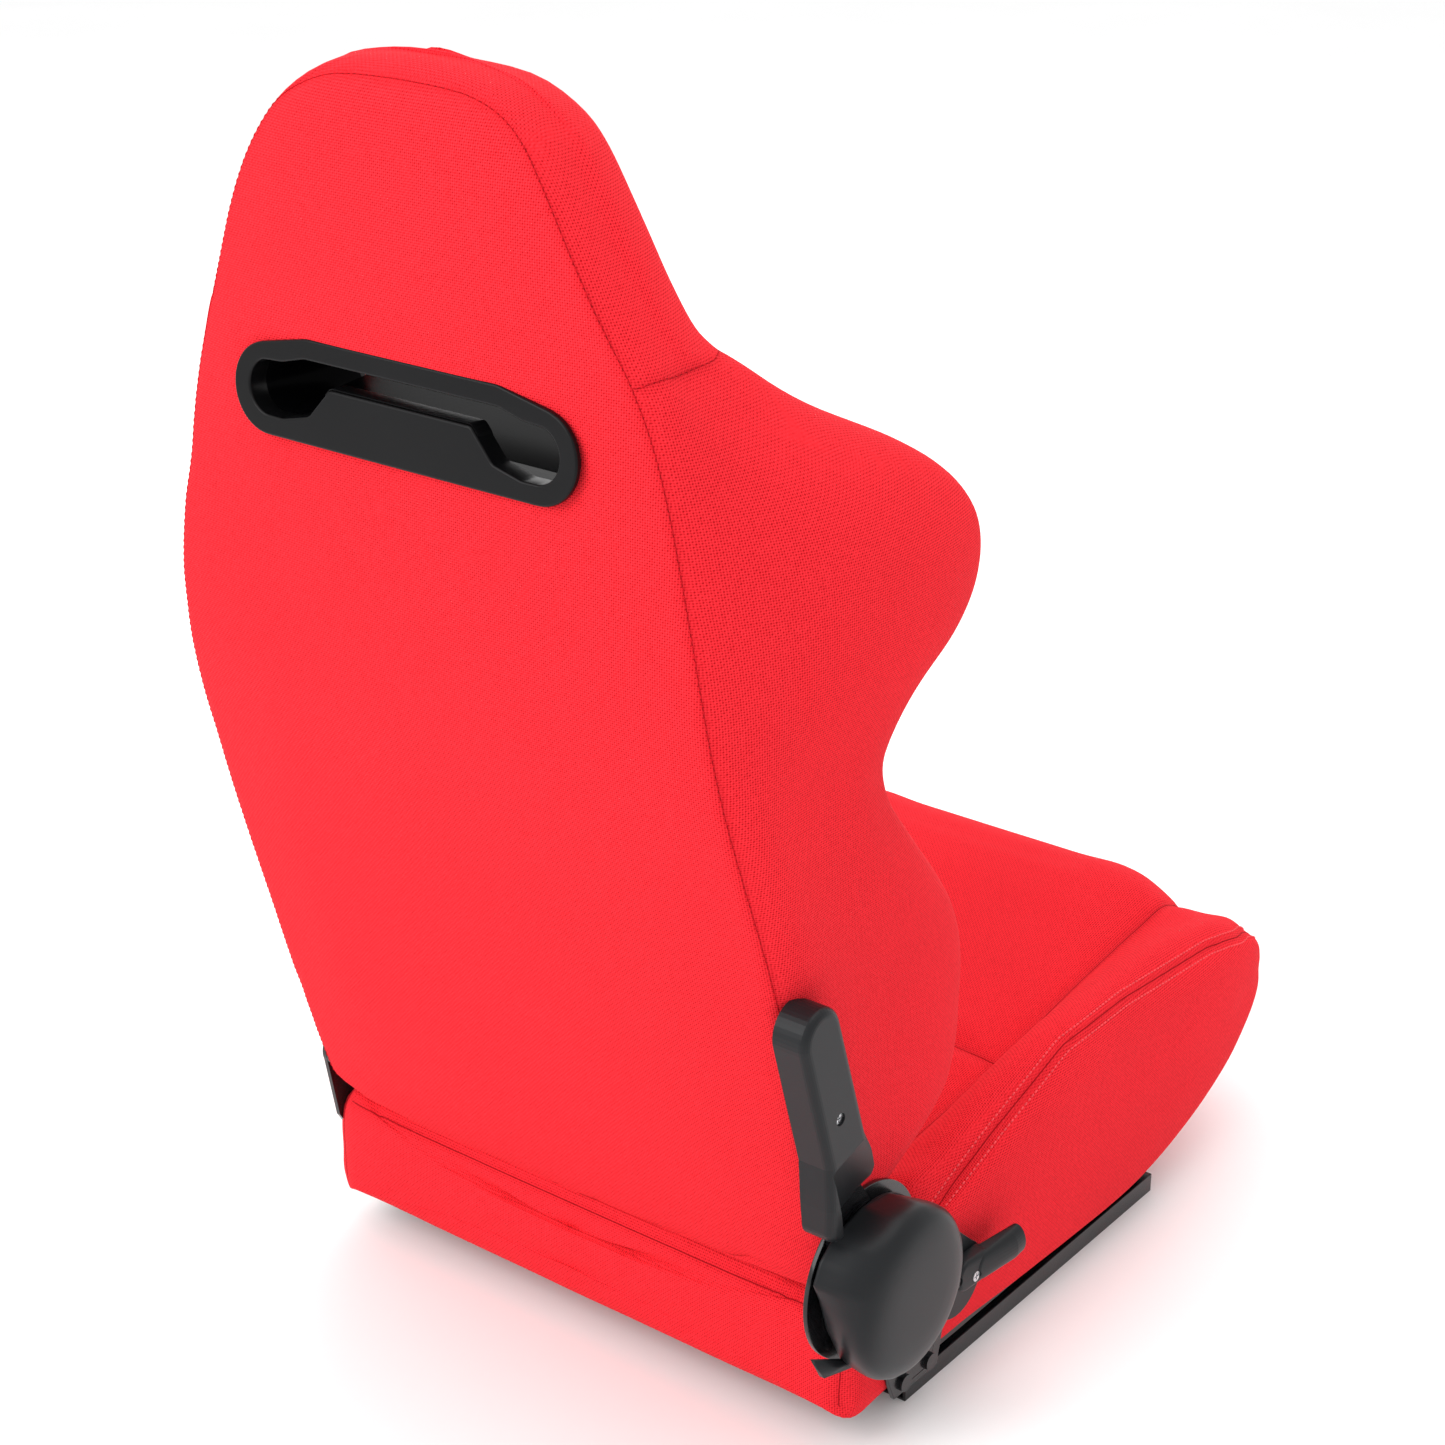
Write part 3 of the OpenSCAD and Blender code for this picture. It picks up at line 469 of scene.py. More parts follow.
def laid_on(surface, line, step=2.0):
    """A line of points in mm dropped onto the nearest surface: places and normals, in metres."""
    places, ups = [], []
    for p in resampled(np.asarray(line, float), step):
        place, up, _, _ = surface.find_nearest(Vector(p * MM))
        places.append(place)
        ups.append(up)
    return np.array(places), np.array(ups)


def sink_seams(piece, surface, seams, depth, width):
    """Presses the fabric in along seams and paints shade into the cloth's colour along the crease."""
    places = coordinates(piece)
    laid = [laid_on(surface, line)[0] for line in seams]
    distance = nearest_distance(places, laid) / MM
    press = np.exp(-((distance / width) ** 2))
    set_coordinates(piece, places - normals(piece) * (press * depth * MM)[:, None])
    if "painted_crease_shade" not in piece.data.attributes:
        piece.data.attributes.new("painted_crease_shade", "FLOAT", "POINT")
    painted_crease_shade = piece.data.attributes["painted_crease_shade"]
    values = np.empty(len(places), np.float32)
    painted_crease_shade.data.foreach_get("value", values)
    # Painted shade, darkest on the seam line and fading to each side
    shade = CREASE_SHADE * np.exp(-((distance / CREASE_WIDTH) ** 2))
    painted_crease_shade.data.foreach_set("value", np.maximum(values, shade).astype(np.float32))


def smooth_halves(rows, row_steps, column_steps):
    """Half-outlines made smooth along the rows, then round each one, level where it meets X = 0."""
    columns = hermite(rows, row_steps).transpose(1, 0, 2)
    flip = np.array([-1, 1, 1])
    columns = hermite(columns, column_steps, (columns[1] * flip, columns[-2] * flip))
    halves = columns.transpose(1, 0, 2)
    halves[:, [0, -1], 0] = 0
    return halves


def row_steps_for(rows, axis, step):
    """How finely to divide each span between rows, for steps of about step along axis."""
    places = [row[0][axis] for row in rows]
    return [even(max(1, round(abs(b - a) / step))) for a, b in zip(places, places[1:])]


def mirrored(line):
    """Points with their X turned to the other side."""
    return np.asarray(line, float) * [-1, 1, 1]


def face_outward(piece):
    shape = bmesh.new()
    shape.from_mesh(piece.data)
    bmesh.ops.recalc_face_normals(shape, faces=shape.faces)
    shape.to_mesh(piece.data)
    shape.free()


def remove_faces(piece, inside):
    """Deletes the faces whose centres satisfy inside(x, y, z), in mm."""
    shape = bmesh.new()
    shape.from_mesh(piece.data)
    doomed = [f for f in shape.faces if inside(*(f.calc_center_median() / MM))]
    bmesh.ops.delete(shape, geom=doomed, context="FACES")
    shape.to_mesh(piece.data)
    shape.free()


def headings(places):
    """Unit vectors along a line of places."""
    run = np.gradient(places, axis=0)
    return run / np.linalg.norm(run, axis=1)[:, None]


def thread_ring(middle, side, up, radius):
    turns = [2 * math.pi * k / THREAD_SIDES for k in range(THREAD_SIDES)]
    return [middle + (side * math.cos(turn) + up * math.sin(turn)) * radius for turn in turns]


def thread_faces(base, rings):
    """Faces of a closed thread through rings of points, the first of which is point base."""
    faces = []
    for i in range(rings - 1):
        for k in range(THREAD_SIDES):
            a = base + i * THREAD_SIDES + k
            b = base + i * THREAD_SIDES + (k + 1) % THREAD_SIDES
            faces.append((a, b, b + THREAD_SIDES, a + THREAD_SIDES))
    faces.append(tuple(base + k for k in reversed(range(THREAD_SIDES))))
    faces.append(tuple(base + (rings - 1) * THREAD_SIDES + k for k in range(THREAD_SIDES)))
    return faces


def stitches(name, surface, lines, material, pitch, length, radius, offset=0.0):
    """A run of stitches lying on a surface, offset mm to one side of each line, as one mesh."""
    points, faces = [], []
    for line in lines:
        places, ups = laid_on(surface, line)
        run = headings(places)
        places = places + np.cross(ups, run) * offset * MM
        steps = np.linalg.norm(np.diff(places, axis=0), axis=1)
        reach = np.concatenate([[0], np.cumsum(steps)]) / MM
        for s in np.arange(pitch, reach[-1] - pitch, pitch):
            centre, along = (
                np.array([np.interp(s, reach, field[:, k]) for k in range(3)])
                for field in (places, run)
            )
            place, up, _, _ = surface.find_nearest(Vector(centre))
            centre, up = np.array(place) / MM, np.array(up)
            along -= up * along.dot(up)
            along /= np.linalg.norm(along)
            side = np.cross(up, along)
            faces += thread_faces(len(points), len(STITCH))
            for t, full in STITCH:
                lift = radius * (STITCH_LIFT - STITCH_DIP * t * t)
                middle = centre + along * t * length + up * lift
                points += thread_ring(middle, side, up, radius * full)
    return mesh_object(name, points, faces, material)


def seam_line(name, surface, lines, material, radius):
    """Painted shadow in the closed joint between two panels: a fine dark roll half sunk along each line, as one
    mesh.
    """
    points, faces = [], []
    for line in lines:
        places, ups = laid_on(surface, line, 2.5)
        faces += thread_faces(len(points), len(places))
        for place, up, side in zip(places / MM, ups, np.cross(ups, headings(places))):
            points += thread_ring(place, side, up * ROLL_FLAT, radius)
    return mesh_object(name, points, faces, material)


# ---------- Backrest ----------

# Height, rear seam, front edge, half-width at the rear seam, half-width at the side
BACK = (
    (129, 257, 251, 233, 237), (137, 262, 248, 236, 240), (143, 266, 239, 239, 243),
    (153, 268.5, 232, 241, 245), (166, 272, 229, 242, 246), (186, 278, 222, 243, 246),
    (201, 282, 205, 243, 246), (213, 286, 181, 243, 246), (228, 290, 152, 243, 246),
    (246, 296, 127, 243, 246), (270, 303, 116, 243, 246), (310, 314, 112, 243, 246),
    (345, 324, 112, 243, 246), (385, 335, 125, 243, 247), (420, 345, 150, 242, 249),
    (460, 357, 181, 239, 248), (500, 369, 208, 236, 247), (523, 375, 212, 234, 246),
    (548, 381, 200, 231, 248), (575, 385, 179, 228, 253), (600, 388, 153, 225, 259),
    (625, 389, 137, 221, 262), (652, 389, 132, 216, 263), (680, 388, 138, 209, 260),
    (705, 388, 156, 204, 250), (731, 388, 192, 198, 232), (752, 388, 232, 192, 213),
    (771, 388, 262, 186, 197), (789, 389, 285, 179, 185),
)
# Height, rear seam, front edge, half-width
HEAD = (
    (812, 392, 306, 167), (840, 397, 312, 152), (870, 399, 316, 138), (898, 399, 318, 123),
    (918, 397, 318, 110), (936, 393, 320, 95), (948, 387, 325, 80), (957, 380, 333, 62),
    (962, 370, 350, 36), (963.5, 364, 356, 14),
)
# How far the rear panel bulges behind its seam on the middle line
CROWN = 11
# Shares of the half-width, and of the bulge there
BACK_BULGE = ((0, 1), (0.45, 0.95), (0.78, 0.68))
HEAD_BULGE = ((0, 0.8), (0.45, 0.7), (0.78, 0.45), (0.93, 0.15))
# Largest radius of a bolster's front edge, and half-width and thickness of the pad between them
BOLSTER_R = 28
PAD_W = 150
PAD_T = 92
# First row of the back with a seam beside the pad, and rows of the head that the rear seam follows
PAD_SEAM_ROW = 8
HEAD_SEAM_ROWS = 7
# Height of the belt slot's centre, how far the slot leans back, and the rear panel's depth there
SLOT_Z = 751
SLOT_LEAN = math.radians(4)
SLOT_Y = next(row[1] for row in BACK if row[0] >= SLOT_Z) + CROWN
# Half the number of 6 mm steps that the rear seam's corners are eased over
CORNER_EASE = 6
# How far the lower hem wanders up from level, by distance across it, and how high that reaches
HEM = ((-240, 3), (-203, 4), (-168, 11), (-150, 2), (-115, 3), (-60, 0), (16, 0), (75, -2),
       (157, -5), (237, 0))
HEM_REACH = 26
# Fractions of each span round a back row: fine at the seam, coarser across the panels
BACK_COLUMNS = [
    even(6), even(5), even(4), [0, 0.4, 0.75], [0, 0.3, 0.65], even(4), even(4), even(2),
    even(2), even(2), even(2), even(3), even(3), even(4), even(4),
]


def front_arc(side, front, radius, turns):
    """Points round the front edge of a bolster or of the head, from its side."""
    arc = []
    for a in map(math.radians, turns):
        arc.append((side - radius + radius * math.cos(a), front + radius - radius * math.sin(a)))
    return arc

def back_half(z, rear, front, seam_w, side_w):
    crown = CROWN * min(1.0, (z - 120) / 80)
    deep = rear - front
    tip = min(BOLSTER_R, deep * 0.42, (side_w - PAD_W) * 0.45)
    pad = max(front + tip, rear - PAD_T + CROWN)
    inner = side_w - 2 * tip
    half = [(part * seam_w, rear + share * crown) for part, share in BACK_BULGE]
    half += [(seam_w - 12, rear + 0.27 * crown), (seam_w, rear)]
    half += [(min(seam_w + 5, side_w), rear - min(7, 0.3 * deep)), (side_w - 1, rear - 0.4 * deep)]
    half += front_arc(side_w, front, tip, range(0, 181, 45))
    half += [((inner + PAD_W) / 2, (front + tip + 2 * pad) / 3 + 1)]
    half += [(PAD_W - 2, pad), (75, pad + 3), (0, pad + 5)]
    return [(x, y, z) for x, y in half]


def head_half(z, rear, front, wide):
    crown = CROWN * min(1.0, wide / 60)
    deep = rear - front
    side = wide + 5
    radius = min(26, deep * 0.45, wide * 0.6)
    half = [(part * wide, rear + share * crown) for part, share in HEAD_BULGE]
    half += [(wide, rear), (wide + 3, rear - min(6, 0.2 * deep)), (side, rear - 0.4 * deep)]
    half += front_arc(side, front, radius, (0, 45, 90))
    half += [((side - radius) * part, front) for part in (0.8, 0.65, 0.5, 0.35, 0.17, 0)]
    return [(x, y, z) for x, y in half]


def eased(line):
    """A line with its corners rounded by averaging each point with its neighbours."""
    padded = np.concatenate([line[:1]] * CORNER_EASE + [line] + [line[-1:]] * CORNER_EASE)
    width = 2 * CORNER_EASE + 1
    return sum(padded[k:k + len(line)] for k in range(width)) / width


def backrest_seams():
    """The cover's seams in mm: round its rear, over both shoulders, and down the pad's sides."""
    side = [(row[3], row[1], row[0]) for row in BACK + HEAD[:HEAD_SEAM_ROWS]]
    rear = np.array([*side, (40, 392, 953.5), (0, 391, 955)], float)
    rear = eased(resampled(np.concatenate([rear, mirrored(rear)[-2::-1]]), 6))
    shoulder = [(176, 390, 798), (181, 360, 799), (178, 320, 799), (168, 303, 799)]
    pad = [(PAD_W - 2, max(row[2] + 20, row[1] - PAD_T + CROWN), row[0])
           for row in BACK[PAD_SEAM_ROW:]]
    shoulders = [resampled(line, 6) for line in (shoulder, mirrored(shoulder))]
    pads = [resampled(line, 6) for line in (pad, mirrored(pad))]
    return rear, shoulders, pads


def add_backrest(fabric, thread, shadow):
    rows = [back_half(*row) for row in BACK] + [head_half(*row) for row in HEAD]
    halves = smooth_halves(rows, row_steps_for(rows, 2, ROW_STEP), BACK_COLUMNS)
    piece = lofted("backrest_cover", halves, fabric)
    face_outward(piece)
    rear, shoulders, pads = backrest_seams()
    corners = ((-136, -26), (136, -26), (136, 24), (-136, 24), (-136, -26))
    rim = np.array([(x, SLOT_Y - z * math.tan(SLOT_LEAN), SLOT_Z + z) for x, z in corners])
    inflate(piece, [line * MM for line in [rear, *pads, resampled(rim, 8)]])
    subdivide(piece)
    places = coordinates(piece)
    share = np.clip(1 - (places[:, 2] / MM - BACK[0][0]) / HEM_REACH, 0, 1)
    places[:, 2] += share * np.interp(places[:, 0] / MM, *zip(*HEM)) * MM
    set_coordinates(piece, places)
    surface = surface_of(piece)
    for seams, depth, width in (([rear], 1.2, 5.5), (shoulders, 0.5, 4), (pads, 2.5, 6)):
        sink_seams(piece, surface, seams, depth, width)
    surface = surface_of(piece)
    sewn = stitches(
        "backrest_stitches", surface, [rear, *shoulders], thread, pitch=5.0, length=3.3, radius=0.42
    )
    # A dark roll along the rear and shoulder seams: painted shadow in the joints
    seam_shadow_roll = seam_line("backrest_seam_shadow", surface, [rear, *shoulders], shadow, radius=0.38)
    remove_faces(piece, in_cut)
    for part in (piece, sewn, seam_shadow_roll):
        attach(part, "backrest")
    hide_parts("back_pad", "back_bolster_l", "back_bolster_r", "head_pad")


# ---------- Base cushion ----------

# Distance along Y, underside, crest, half-width
THIGH = (
    (-347, 130, 148, 226), (-342, 122, 164, 237), (-326, 107, 180, 246), (-292, 85, 195, 252),
    (-240, 61, 206, 255), (-190, 44, 211, 255), (-140, 34, 212, 255), (-30, 32, 208, 254),
    (50, 32, 190, 251), (110, 32, 168, 248), (156, 32, 150, 247.5), (164, 32, 110, 247.5),
    (232, 30, 108, 249), (240, 30, 125, 250), (250, 30, 127, 249), (258, 34, 125, 243),
    (262, 41, 120, 233),
)
# Distance along Y and height of the centre pad, of the valley beside it, of the seam on the
# bolster's ridge, and of the rising underside at the front
PAD_TOP = (
    (-338, -332, -318, -295, -250, -180, -90, -30, 60, 156),
    (146, 182, 201, 213, 211, 195, 176, 165, 154, 147),
)
VALLEY = (
    (-347, -338, -318, -282, -180, -93, -35, 60, 156),
    (138, 146, 186, 198, 186, 174, 163, 152, 146),
)
RIDGE = ((-347, -319, -242, -112, -26, 61, 127, 156), (140, 171, 195, 206, 204, 172, 142, 130))
UNDER = ((-347, -322, -250), (132, 100, 51))
# Rows that round off each end: distance along Y and size beside the end row, which shrinks
# towards the given height on the middle line
FRONT_END = ((-351, 0.6), (-349.5, 0.88))
FRONT_END_Z = 140
REAR_END = ((264.5, 0.93), (266, 0.74), (266.8, 0.42))
REAR_END_Z = 84
# Half-width at the valley, and where along Y the seat's top ends and its rear wall starts
VALLEY_X = 177
SEAT_BACK = 156
WALL_FRONT = 236
# How far the ridge's seam is inside the bolster's side, its first point that sinks, and how far
# the rows of topstitching are from it
RIDGE_INSET = 15
RIDGE_SINK = 3
TOPSTITCH_OFFSET = 6.0
# Rear corner of the wall, and the seams straight across the cushion and along the wall
CORNER = ((236, 252, 122), (237, 253, 80), (236, 252, 44))
CROSSING = ((-178, -32, 163), (-120, -34, 165), (0, -36, 166), (120, -34, 165), (178, -32, 163))
WALL = ((-228, 261, 119), (-120, 264, 119), (0, 264.5, 119), (120, 264, 119), (228, 261, 119))
# Fractions of each span round a row; the spans from UNDER_SPAN on are hidden underneath
BASE_COLUMNS = [
    even(5), even(4), even(3), [0, 0.45], [0, 0.4], even(2), even(2), [0, 0.5], [0, 0.4],
    even(3), even(4), even(4), even(2), even(2), even(2), even(2), even(3), even(3),
]
UNDER_SPAN = 13


def base_half(y, low, crest, wide):
    behind = y > SEAT_BACK
    pad, valley, ridge = (
        crest if behind else float(np.interp(y, *table)) for table in (PAD_TOP, VALLEY, RIDGE)
    )
    ridge = min(ridge, crest - (1 if behind else 4))
    if y < UNDER[0][-1]:
        ridge = max(ridge, crest - 7)
    under = low + 1 if y > WALL_FRONT else max(float(np.interp(y, *UNDER)), low + 2)
    tall = crest - low
    part = tall / 180
    top = wide - 28
    ledge = min(239, wide - 8)
    half = [(0, pad), (80, pad), (140, pad - 1), (166, 0.35 * pad + 0.65 * valley)]
    half += [(VALLEY_X, valley), (189, valley + 0.35 * (crest - valley))]
    half += [(VALLEY_X + 0.62 * (top - VALLEY_X), crest - 4 * part), (top, crest)]
    half += [(wide - RIDGE_INSET, ridge), (wide - 5, min(crest - 26 * part, ridge - 3))]
    half += [(wide, crest - 70 * part), (wide, low + 0.4 * tall), (wide - 1, low + 0.08 * tall)]
    half += [(wide - 5, low), (ledge, low), (ledge - 1, (low + under) / 2), (ledge - 6, under)]
    half += [(100, under), (0, under)]
    return [(x, y, z) for x, z in half]


def drawn_in(row, ends, middle):
    """Copies of an end row at each Y and size in ends, shrunk towards height middle."""
    return [[(x * size, y, middle + (z - middle) * size) for x, _, z in row] for y, size in ends]


def seat_seams():
    """The cushion's seams in mm on its left side: valley, ridge and the wall's rear corner."""
    valley = [(VALLEY_X, y, np.interp(y, *VALLEY)) for y in np.arange(-336, 150, 12)]
    along, _, _, widths = zip(*THIGH)
    ridge = [(np.interp(y, along, widths) - RIDGE_INSET, y, np.interp(y, *RIDGE))
             for y in np.arange(-340, 154, 8)]
    return [np.array(line, float) for line in (valley, ridge, CORNER)]


def add_base(fabric, thread, shadow):
    rows = [base_half(*row) for row in THIGH]
    front = drawn_in(rows[0], FRONT_END, FRONT_END_Z)
    rows = front + rows + drawn_in(rows[-1], REAR_END, REAR_END_Z)
    halves = smooth_halves(rows, row_steps_for(rows, 1, ROW_STEP), BASE_COLUMNS)
    piece = lofted("seat_cover", halves, fabric)
    face_outward(piece)
    valley, ridge, corner = seat_seams()
    seams = [valley, corner, mirrored(valley), mirrored(corner)]
    ridges = [ridge, mirrored(ridge)]
    crossing, wall = np.array(CROSSING, float), np.array(WALL, float)
    first = sum(len(span) for span in BASE_COLUMNS[:UNDER_SPAN])
    hidden = [halves[:, k] for k in range(first, halves.shape[1], 4)]
    hidden += [mirrored(line) for line in hidden]
    sewn = [*seams, *ridges, crossing, wall]
    inflate(piece, [resampled(line, 8) * MM for line in [*sewn, *hidden]])
    subdivide(piece)
    surface = surface_of(piece)
    sink_seams(piece, surface, [*seams, crossing], 1.8, 5.5)
    sink_seams(piece, surface, [*(line[RIDGE_SINK:] for line in ridges), wall], 1.0, 5)
    surface = surface_of(piece)
    # A dark roll along every seam of the cushion: painted shadow in the joints
    seam_shadow_roll = seam_line("seat_seam_shadow", surface, sewn, shadow, radius=0.42)
    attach(seam_shadow_roll, "seat_base")
    for label, offset in (("outer", TOPSTITCH_OFFSET), ("inner", -TOPSTITCH_OFFSET)):
        for end, line in (("", ridges[0]), ("_right", ridges[1])):
            name = "seat_topstitch_" + label + end
            part = stitches(
                name, surface, [line], thread, pitch=4.6, length=3.3, radius=0.75, offset=offset
            )
            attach(part, "seat_base")
    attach(piece, "seat_base")
    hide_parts("seat_pad", "thigh_bolster_l", "thigh_bolster_r")


# ---------- Belt slot bezel ----------

# Outlines in mm across and above the slot's centre; an end is the centre and radius of an arc
BEZEL_TOP = ((-79, 34.5), (79, 34.5), (121, 25.9))
BEZEL_END = (113, -3, 30)
OPENING_TOP = ((-81, 21), (81, 21), (100, 16))
OPENING_END = (111, -2, 18)
OPENING_FLAP = (
    (100, -20), (77, -14.5), (73, -10), (59, 5.5),
    (-59, 5.5), (-73, -10), (-77, -14.5), (-100, -20),
)
# Half-width over which the opening's edges run straight
OPENING_STRAIGHT = 100
# Floor and top of the cut through the cover, its lower top beyond the straight part, and how much
# larger than all that it is made
CUT_FLOOR = -20
CUT_TOP = 21
CUT_END_TOP = 15
CUT_GROW = 5
# The plate's half thickness inside its rolled edge, the edge's radius, and how far it stands off
PLATE_HALF = 0.9
PLATE_EDGE = 1.6
PLATE_LIFT = 1.9
# The collar inside the opening: how far out and in it reaches, and its wall
COLLAR_OUT = 2.6
COLLAR_IN = -10.0
COLLAR_WALL = 1.2


def in_cut(x, y, z):
    """Whether a point in mm lies in the belt slot's cut, which leans with the slot."""
    height = z - SLOT_Z + (SLOT_Y - y) * math.tan(SLOT_LEAN)
    end_x, end_z, end_r = OPENING_END
    if abs(x) > end_x:
        return math.hypot(abs(x) - end_x, height - end_z) < end_r + CUT_GROW
    top = CUT_TOP if abs(x) < OPENING_STRAIGHT else CUT_END_TOP
    return CUT_FLOOR - CUT_GROW < height < top + CUT_GROW


def rounded_loop(corners, count, width):
    """A closed outline through corners, with its corners eased over about width mm."""
    step = 0.5
    line = resampled([(x, 0, z) for x, z in (*corners, corners[0])], step)[:-1]
    reach = int(width / step)
    line = sum(np.roll(line, k, axis=0) for k in range(-reach, reach + 1)) / (2 * reach + 1)
    picks = np.linspace(0, len(line), count, endpoint=False).astype(int)
    return line[picks][:, [0, 2]]


def end_arc(end, first, last, sign):
    """Points round one end of an outline, from angle first to last in degrees on the +X end."""
    x, z, radius = end
    turns = [math.radians(a) for a in range(first, last, -10)]
    arc = [(x + radius * math.cos(turn), z + radius * math.sin(turn)) for turn in turns]
    return arc if sign > 0 else [(-px, pz) for px, pz in reversed(arc)]


def slot_point(x, z, out):
    """A point of the slot's frame in mm: out is how far it stands proud of the backrest."""
    y = SLOT_Y + out * math.cos(SLOT_LEAN) - z * math.sin(SLOT_LEAN)
    return (x, y, SLOT_Z + z * math.cos(SLOT_LEAN) + out * math.sin(SLOT_LEAN))


def add_bezel(material):
    """The rear bezel: a moulded plate with rolled edges, and a collar that dips into the tunnel."""
    outer = [*BEZEL_TOP, *end_arc(BEZEL_END, 60, -91, 1), *end_arc(BEZEL_END, 60, -91, -1)]
    outer.append((-121, 25.9))
    hole = [*OPENING_TOP, *end_arc(OPENING_END, 70, -90, 1)]
    hole += [*OPENING_FLAP, *end_arc(OPENING_END, 70, -90, -1), (-100, 16)]
    outer, hole = rounded_loop(outer, 300, 3.0), rounded_loop(hole, 360, 2.0)
    curve = bpy.data.curves.new("rear_bezel_plate", "CURVE")
    curve.dimensions = "2D"
    curve.fill_mode = "BOTH"
    curve.extrude = PLATE_HALF * MM
    curve.bevel_depth = PLATE_EDGE * MM
    curve.bevel_resolution = 4
    curve.offset = -PLATE_EDGE * MM
    for loop in (outer, hole):
        spline = curve.splines.new("POLY")
        spline.points.add(len(loop) - 1)
        spline.points.foreach_set("co", [c for x, z in loop for c in (x * MM, z * MM, 0, 1)])
        spline.use_cyclic_u = True
    holder = bpy.data.objects.new("bezel_outline", curve)
    bpy.context.scene.collection.objects.link(holder)
    graph = bpy.context.evaluated_depsgraph_get()
    plate = bpy.data.meshes.new_from_object(holder.evaluated_get(graph))
    bpy.data.objects.remove(holder)
    points = []
    for x, z, out in (v.co for v in plate.vertices):
        points.append(slot_point(x / MM, z / MM, out / MM + PLATE_LIFT))
    faces = [tuple(p.vertices) for p in plate.polygons]
    bpy.data.meshes.remove(plate)
    base, size = len(points), len(hole)
    for wall, out in ((0.0, COLLAR_OUT), (0.0, COLLAR_IN), (COLLAR_WALL, COLLAR_IN),
                      (COLLAR_WALL, COLLAR_OUT)):
        for x, z in hole:
            away = np.array([x - np.clip(x, -OPENING_STRAIGHT, OPENING_STRAIGHT), z])
            away = away / max(np.linalg.norm(away), 1e-6) * wall
            points.append(slot_point(x + away[0], z + away[1], out))
    for i in range(4):
        for k in range(size):
            j = (k + 1) % size
            a, b = base + i * size, base + ((i + 1) % 4) * size
            faces.append((a + k, a + j, b + j, b + k))
    piece = mesh_object("rear_bezel_moulding", points, faces, material)
    weld = piece.modifiers.new("weld", "WELD")
    weld.merge_threshold = 0.01 * MM
    apply_modifiers(piece)
    face_outward(piece)
    flat = piece.modifiers.new("shade", "WEIGHTED_NORMAL")
    flat.keep_sharp = True
    apply_modifiers(piece)
    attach(piece, "backrest")
    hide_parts("rear_bezel")


# ---------- Round recliner cover ----------

# Distance of the rim from the seat's middle, and height and wall of the dome
COVER_X = 260
COVER_H = 42
COVER_WALL = 2.4
# Points round each ring, and the rings' shares of the height, closer where the dome rolls over
COVER_POINTS = 120
COVER_RISES = (0, 0.04, 0.12, 0.25, 0.4, 0.55, 0.68, 0.78, 0.86, 0.92, 0.96, 0.985, 0.997, 0.9997)
# Rim against the seat, as distances from the hinge in Y and Z
RIM = (
    (68, 27), (61, 42), (46, 53), (13, 60), (-16, 56), (-44, 38), (-58, 0), (-54, -30),
    (-36, -54), (-4, -66), (20, -62), (35, -50), (52, -16), (61, 12),
)
# Centre of the round face, from the hinge, and its radius
FACE_CENTRE = (0, -3)
FACE_R = 65
# How squarely the dome turns into its face, and the share of its height where its outline is round
FACE_POWER = 5.0
ROUND_RISE = 0.9
ROUND_POWER = 0.9
# How far the middle of the face stands above its last ring
HUB_LIFT = 0.2
# Outline of the tab, as distances from the hinge in Y and Z, and its thickness
TAB = ((17, -61), (20, -62), (59, -50), (70, -30), (34, -50), (30, -50))
TAB_T = 4


def rim_radius(turn):
    """How far the rim is from the face's centre in direction turn."""
    corners = [complex(*c) - complex(*FACE_CENTRE) for c in RIM]
    heading = complex(math.cos(turn), math.sin(turn))
    best = 0.0
    for a, b in zip(corners, corners[1:] + corners[:1]):
        edge = b - a
        cross = heading.real * edge.imag - heading.imag * edge.real
        if abs(cross) > 1e-9:
            far = (a.real * edge.imag - a.imag * edge.real) / cross
            part = (a.real * heading.imag - a.imag * heading.real) / cross
            if far > 0 and -1e-6 <= part <= 1 + 1e-6:
                best = max(best, far)
    return best


def cover_ring(rise, inset):
    """A ring of the cover at a share of its height: the rim's outline melts into the round face."""
    ring = []
    blend = min(1.0, rise / ROUND_RISE) ** ROUND_POWER
    shrink = max(1e-3, 1 - rise**FACE_POWER) ** (1 / FACE_POWER)
    for k in range(COVER_POINTS):
        turn = 2 * math.pi * k / COVER_POINTS
        radius = (rim_radius(turn) * (1 - blend) + FACE_R * blend) * shrink - inset
        y = HINGE.y + FACE_CENTRE[0] + radius * math.cos(turn)
        z = HINGE.z + FACE_CENTRE[1] + radius * math.sin(turn)
        ring.append((-(COVER_X + rise * (COVER_H - inset)), y, z))
    return ring


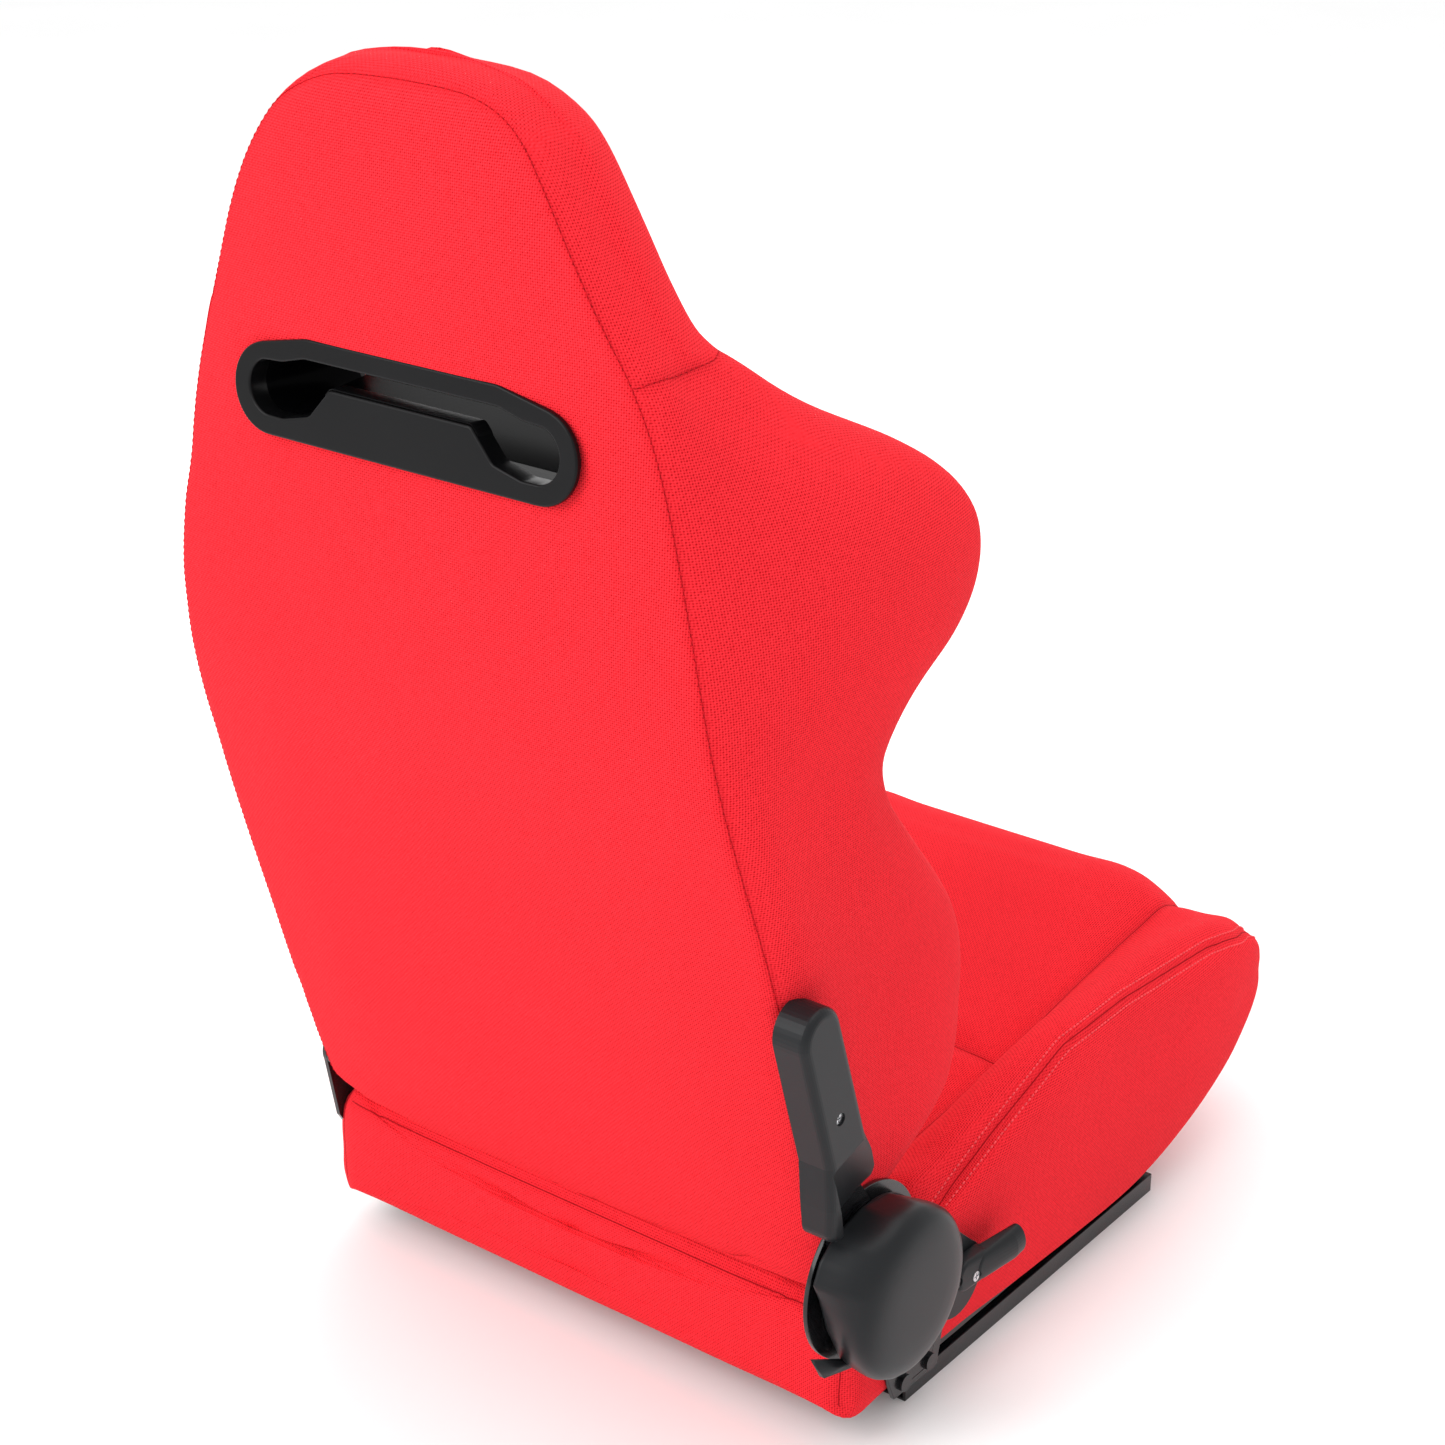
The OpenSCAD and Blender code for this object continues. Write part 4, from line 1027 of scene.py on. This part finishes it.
def add_round_cover(material):
    """The moulded dome as a thin shell with a rolled rim, and the tab that clips it on below."""
    count = COVER_POINTS
    rings = [cover_ring(rise, COVER_WALL) for rise in reversed(COVER_RISES)]
    rings += [cover_ring(rise, 0) for rise in COVER_RISES]
    points = [p for ring in rings for p in ring]
    faces = []
    for i in range(len(rings) - 1):
        for k in range(count):
            j = (k + 1) % count
            a, b = i * count, (i + 1) * count
            faces.append((a + k, a + j, b + j, b + k))
    middle = (HINGE.y + FACE_CENTRE[0], HINGE.z + FACE_CENTRE[1])
    for ring, inset in ((0, COVER_WALL), (len(rings) - 1, 0)):
        hub = len(points)
        points.append((-(COVER_X + COVER_H - inset + HUB_LIFT), *middle))
        faces += [(hub, ring * count + k, ring * count + (k + 1) % count) for k in range(count)]
    base, size = len(points), len(TAB)
    for x in (COVER_X, COVER_X + TAB_T):
        points += [(-x, HINGE.y + y, HINGE.z + z) for y, z in TAB]
    for k in range(size):
        j = (k + 1) % size
        faces.append((base + k, base + j, base + size + j, base + size + k))
    faces.append(tuple(base + k for k in range(size)))
    faces.append(tuple(base + size + k for k in reversed(range(size))))
    piece = mesh_object("round_cover_shell", points, faces, material)
    face_outward(piece)
    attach(piece, "seat_base")
    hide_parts("round_cover")


# ---------- CAD nodes ----------

# Nodes whose edges the mould or press rounds, with the radius in mm
EDGES = {
    "front_bezel": 1.3, "arm_cover": 0.9, "lever_grip": 0.6, "inner_cover": 0.4,
    "lower_rail_l": 0.5, "lower_rail_r": 0.5, "upper_rail_l": 0.5, "upper_rail_r": 0.5,
    "recliner_plate": 0.5,
}


def soften_edges(node, width):
    """Rounds a moulded or pressed node's sharp edges with modifiers, which leave its mesh alone."""
    weld = node.modifiers.new("weld", "WELD")
    weld.merge_threshold = 0.02 * MM
    bevel = node.modifiers.new("edge", "BEVEL")
    bevel.width = width * MM
    bevel.segments = 3
    bevel.limit_method = "ANGLE"
    bevel.angle_limit = math.radians(38)
    bevel.use_clamp_overlap = True


def finish_nodes(materials):
    for part in frame["record"]["subparts"]:
        node = frame["nodes"][part["node"]]
        node.data.materials.clear()
        node.data.materials.append(materials[part["material_slot"]])
    for name, width in EDGES.items():
        soften_edges(frame["nodes"][name], width)


# ---------- Build ----------

add_camera()
add_studio()
fabric = fabric_material("red_twill", 0.0023)
thread = thread_material("red_thread", (0.60, 0.009, 0.017))
topstitch = thread_material("red_topstitch", (0.97, 0.095, 0.11))
# Painted shadow: the dark red of the roll laid in each seam's joint
shadow = thread_material("seam_shadow", (0.34, 0.004, 0.008))
materials = {
    "red_fabric": fabric,
    "black_plastic": plastic_material(
        "satin_plastic", (0.010, 0.011, 0.0125), roughness=0.36, grain=0.12, scuff=0.15
    ),
    "tunnel_plastic": plastic_material(
        "gloss_plastic", (0.002, 0.002, 0.0025), roughness=0.22, grain=0.02, scuff=0.0,
        specular=0.012
    ),
    "black_steel": paint_material("black_paint", (0.004, 0.004, 0.005), roughness=0.24),
    "zinc_steel": metal_material("zinc", (0.66, 0.67, 0.69), roughness=0.32),
    "nylon": plastic_material(
        "nylon", (0.72, 0.70, 0.62), roughness=0.5, grain=0.06, scuff=0.2, specular=0.4
    ),
}
finish_nodes(materials)
add_backrest(fabric, thread, shadow)
add_base(fabric, topstitch, shadow)
add_round_cover(materials["black_plastic"])
bezel = plastic_material(
    "bezel_plastic", (0.004, 0.004, 0.0045), roughness=0.3, grain=0.04, scuff=0.05, specular=0.14
)
add_bezel(bezel)
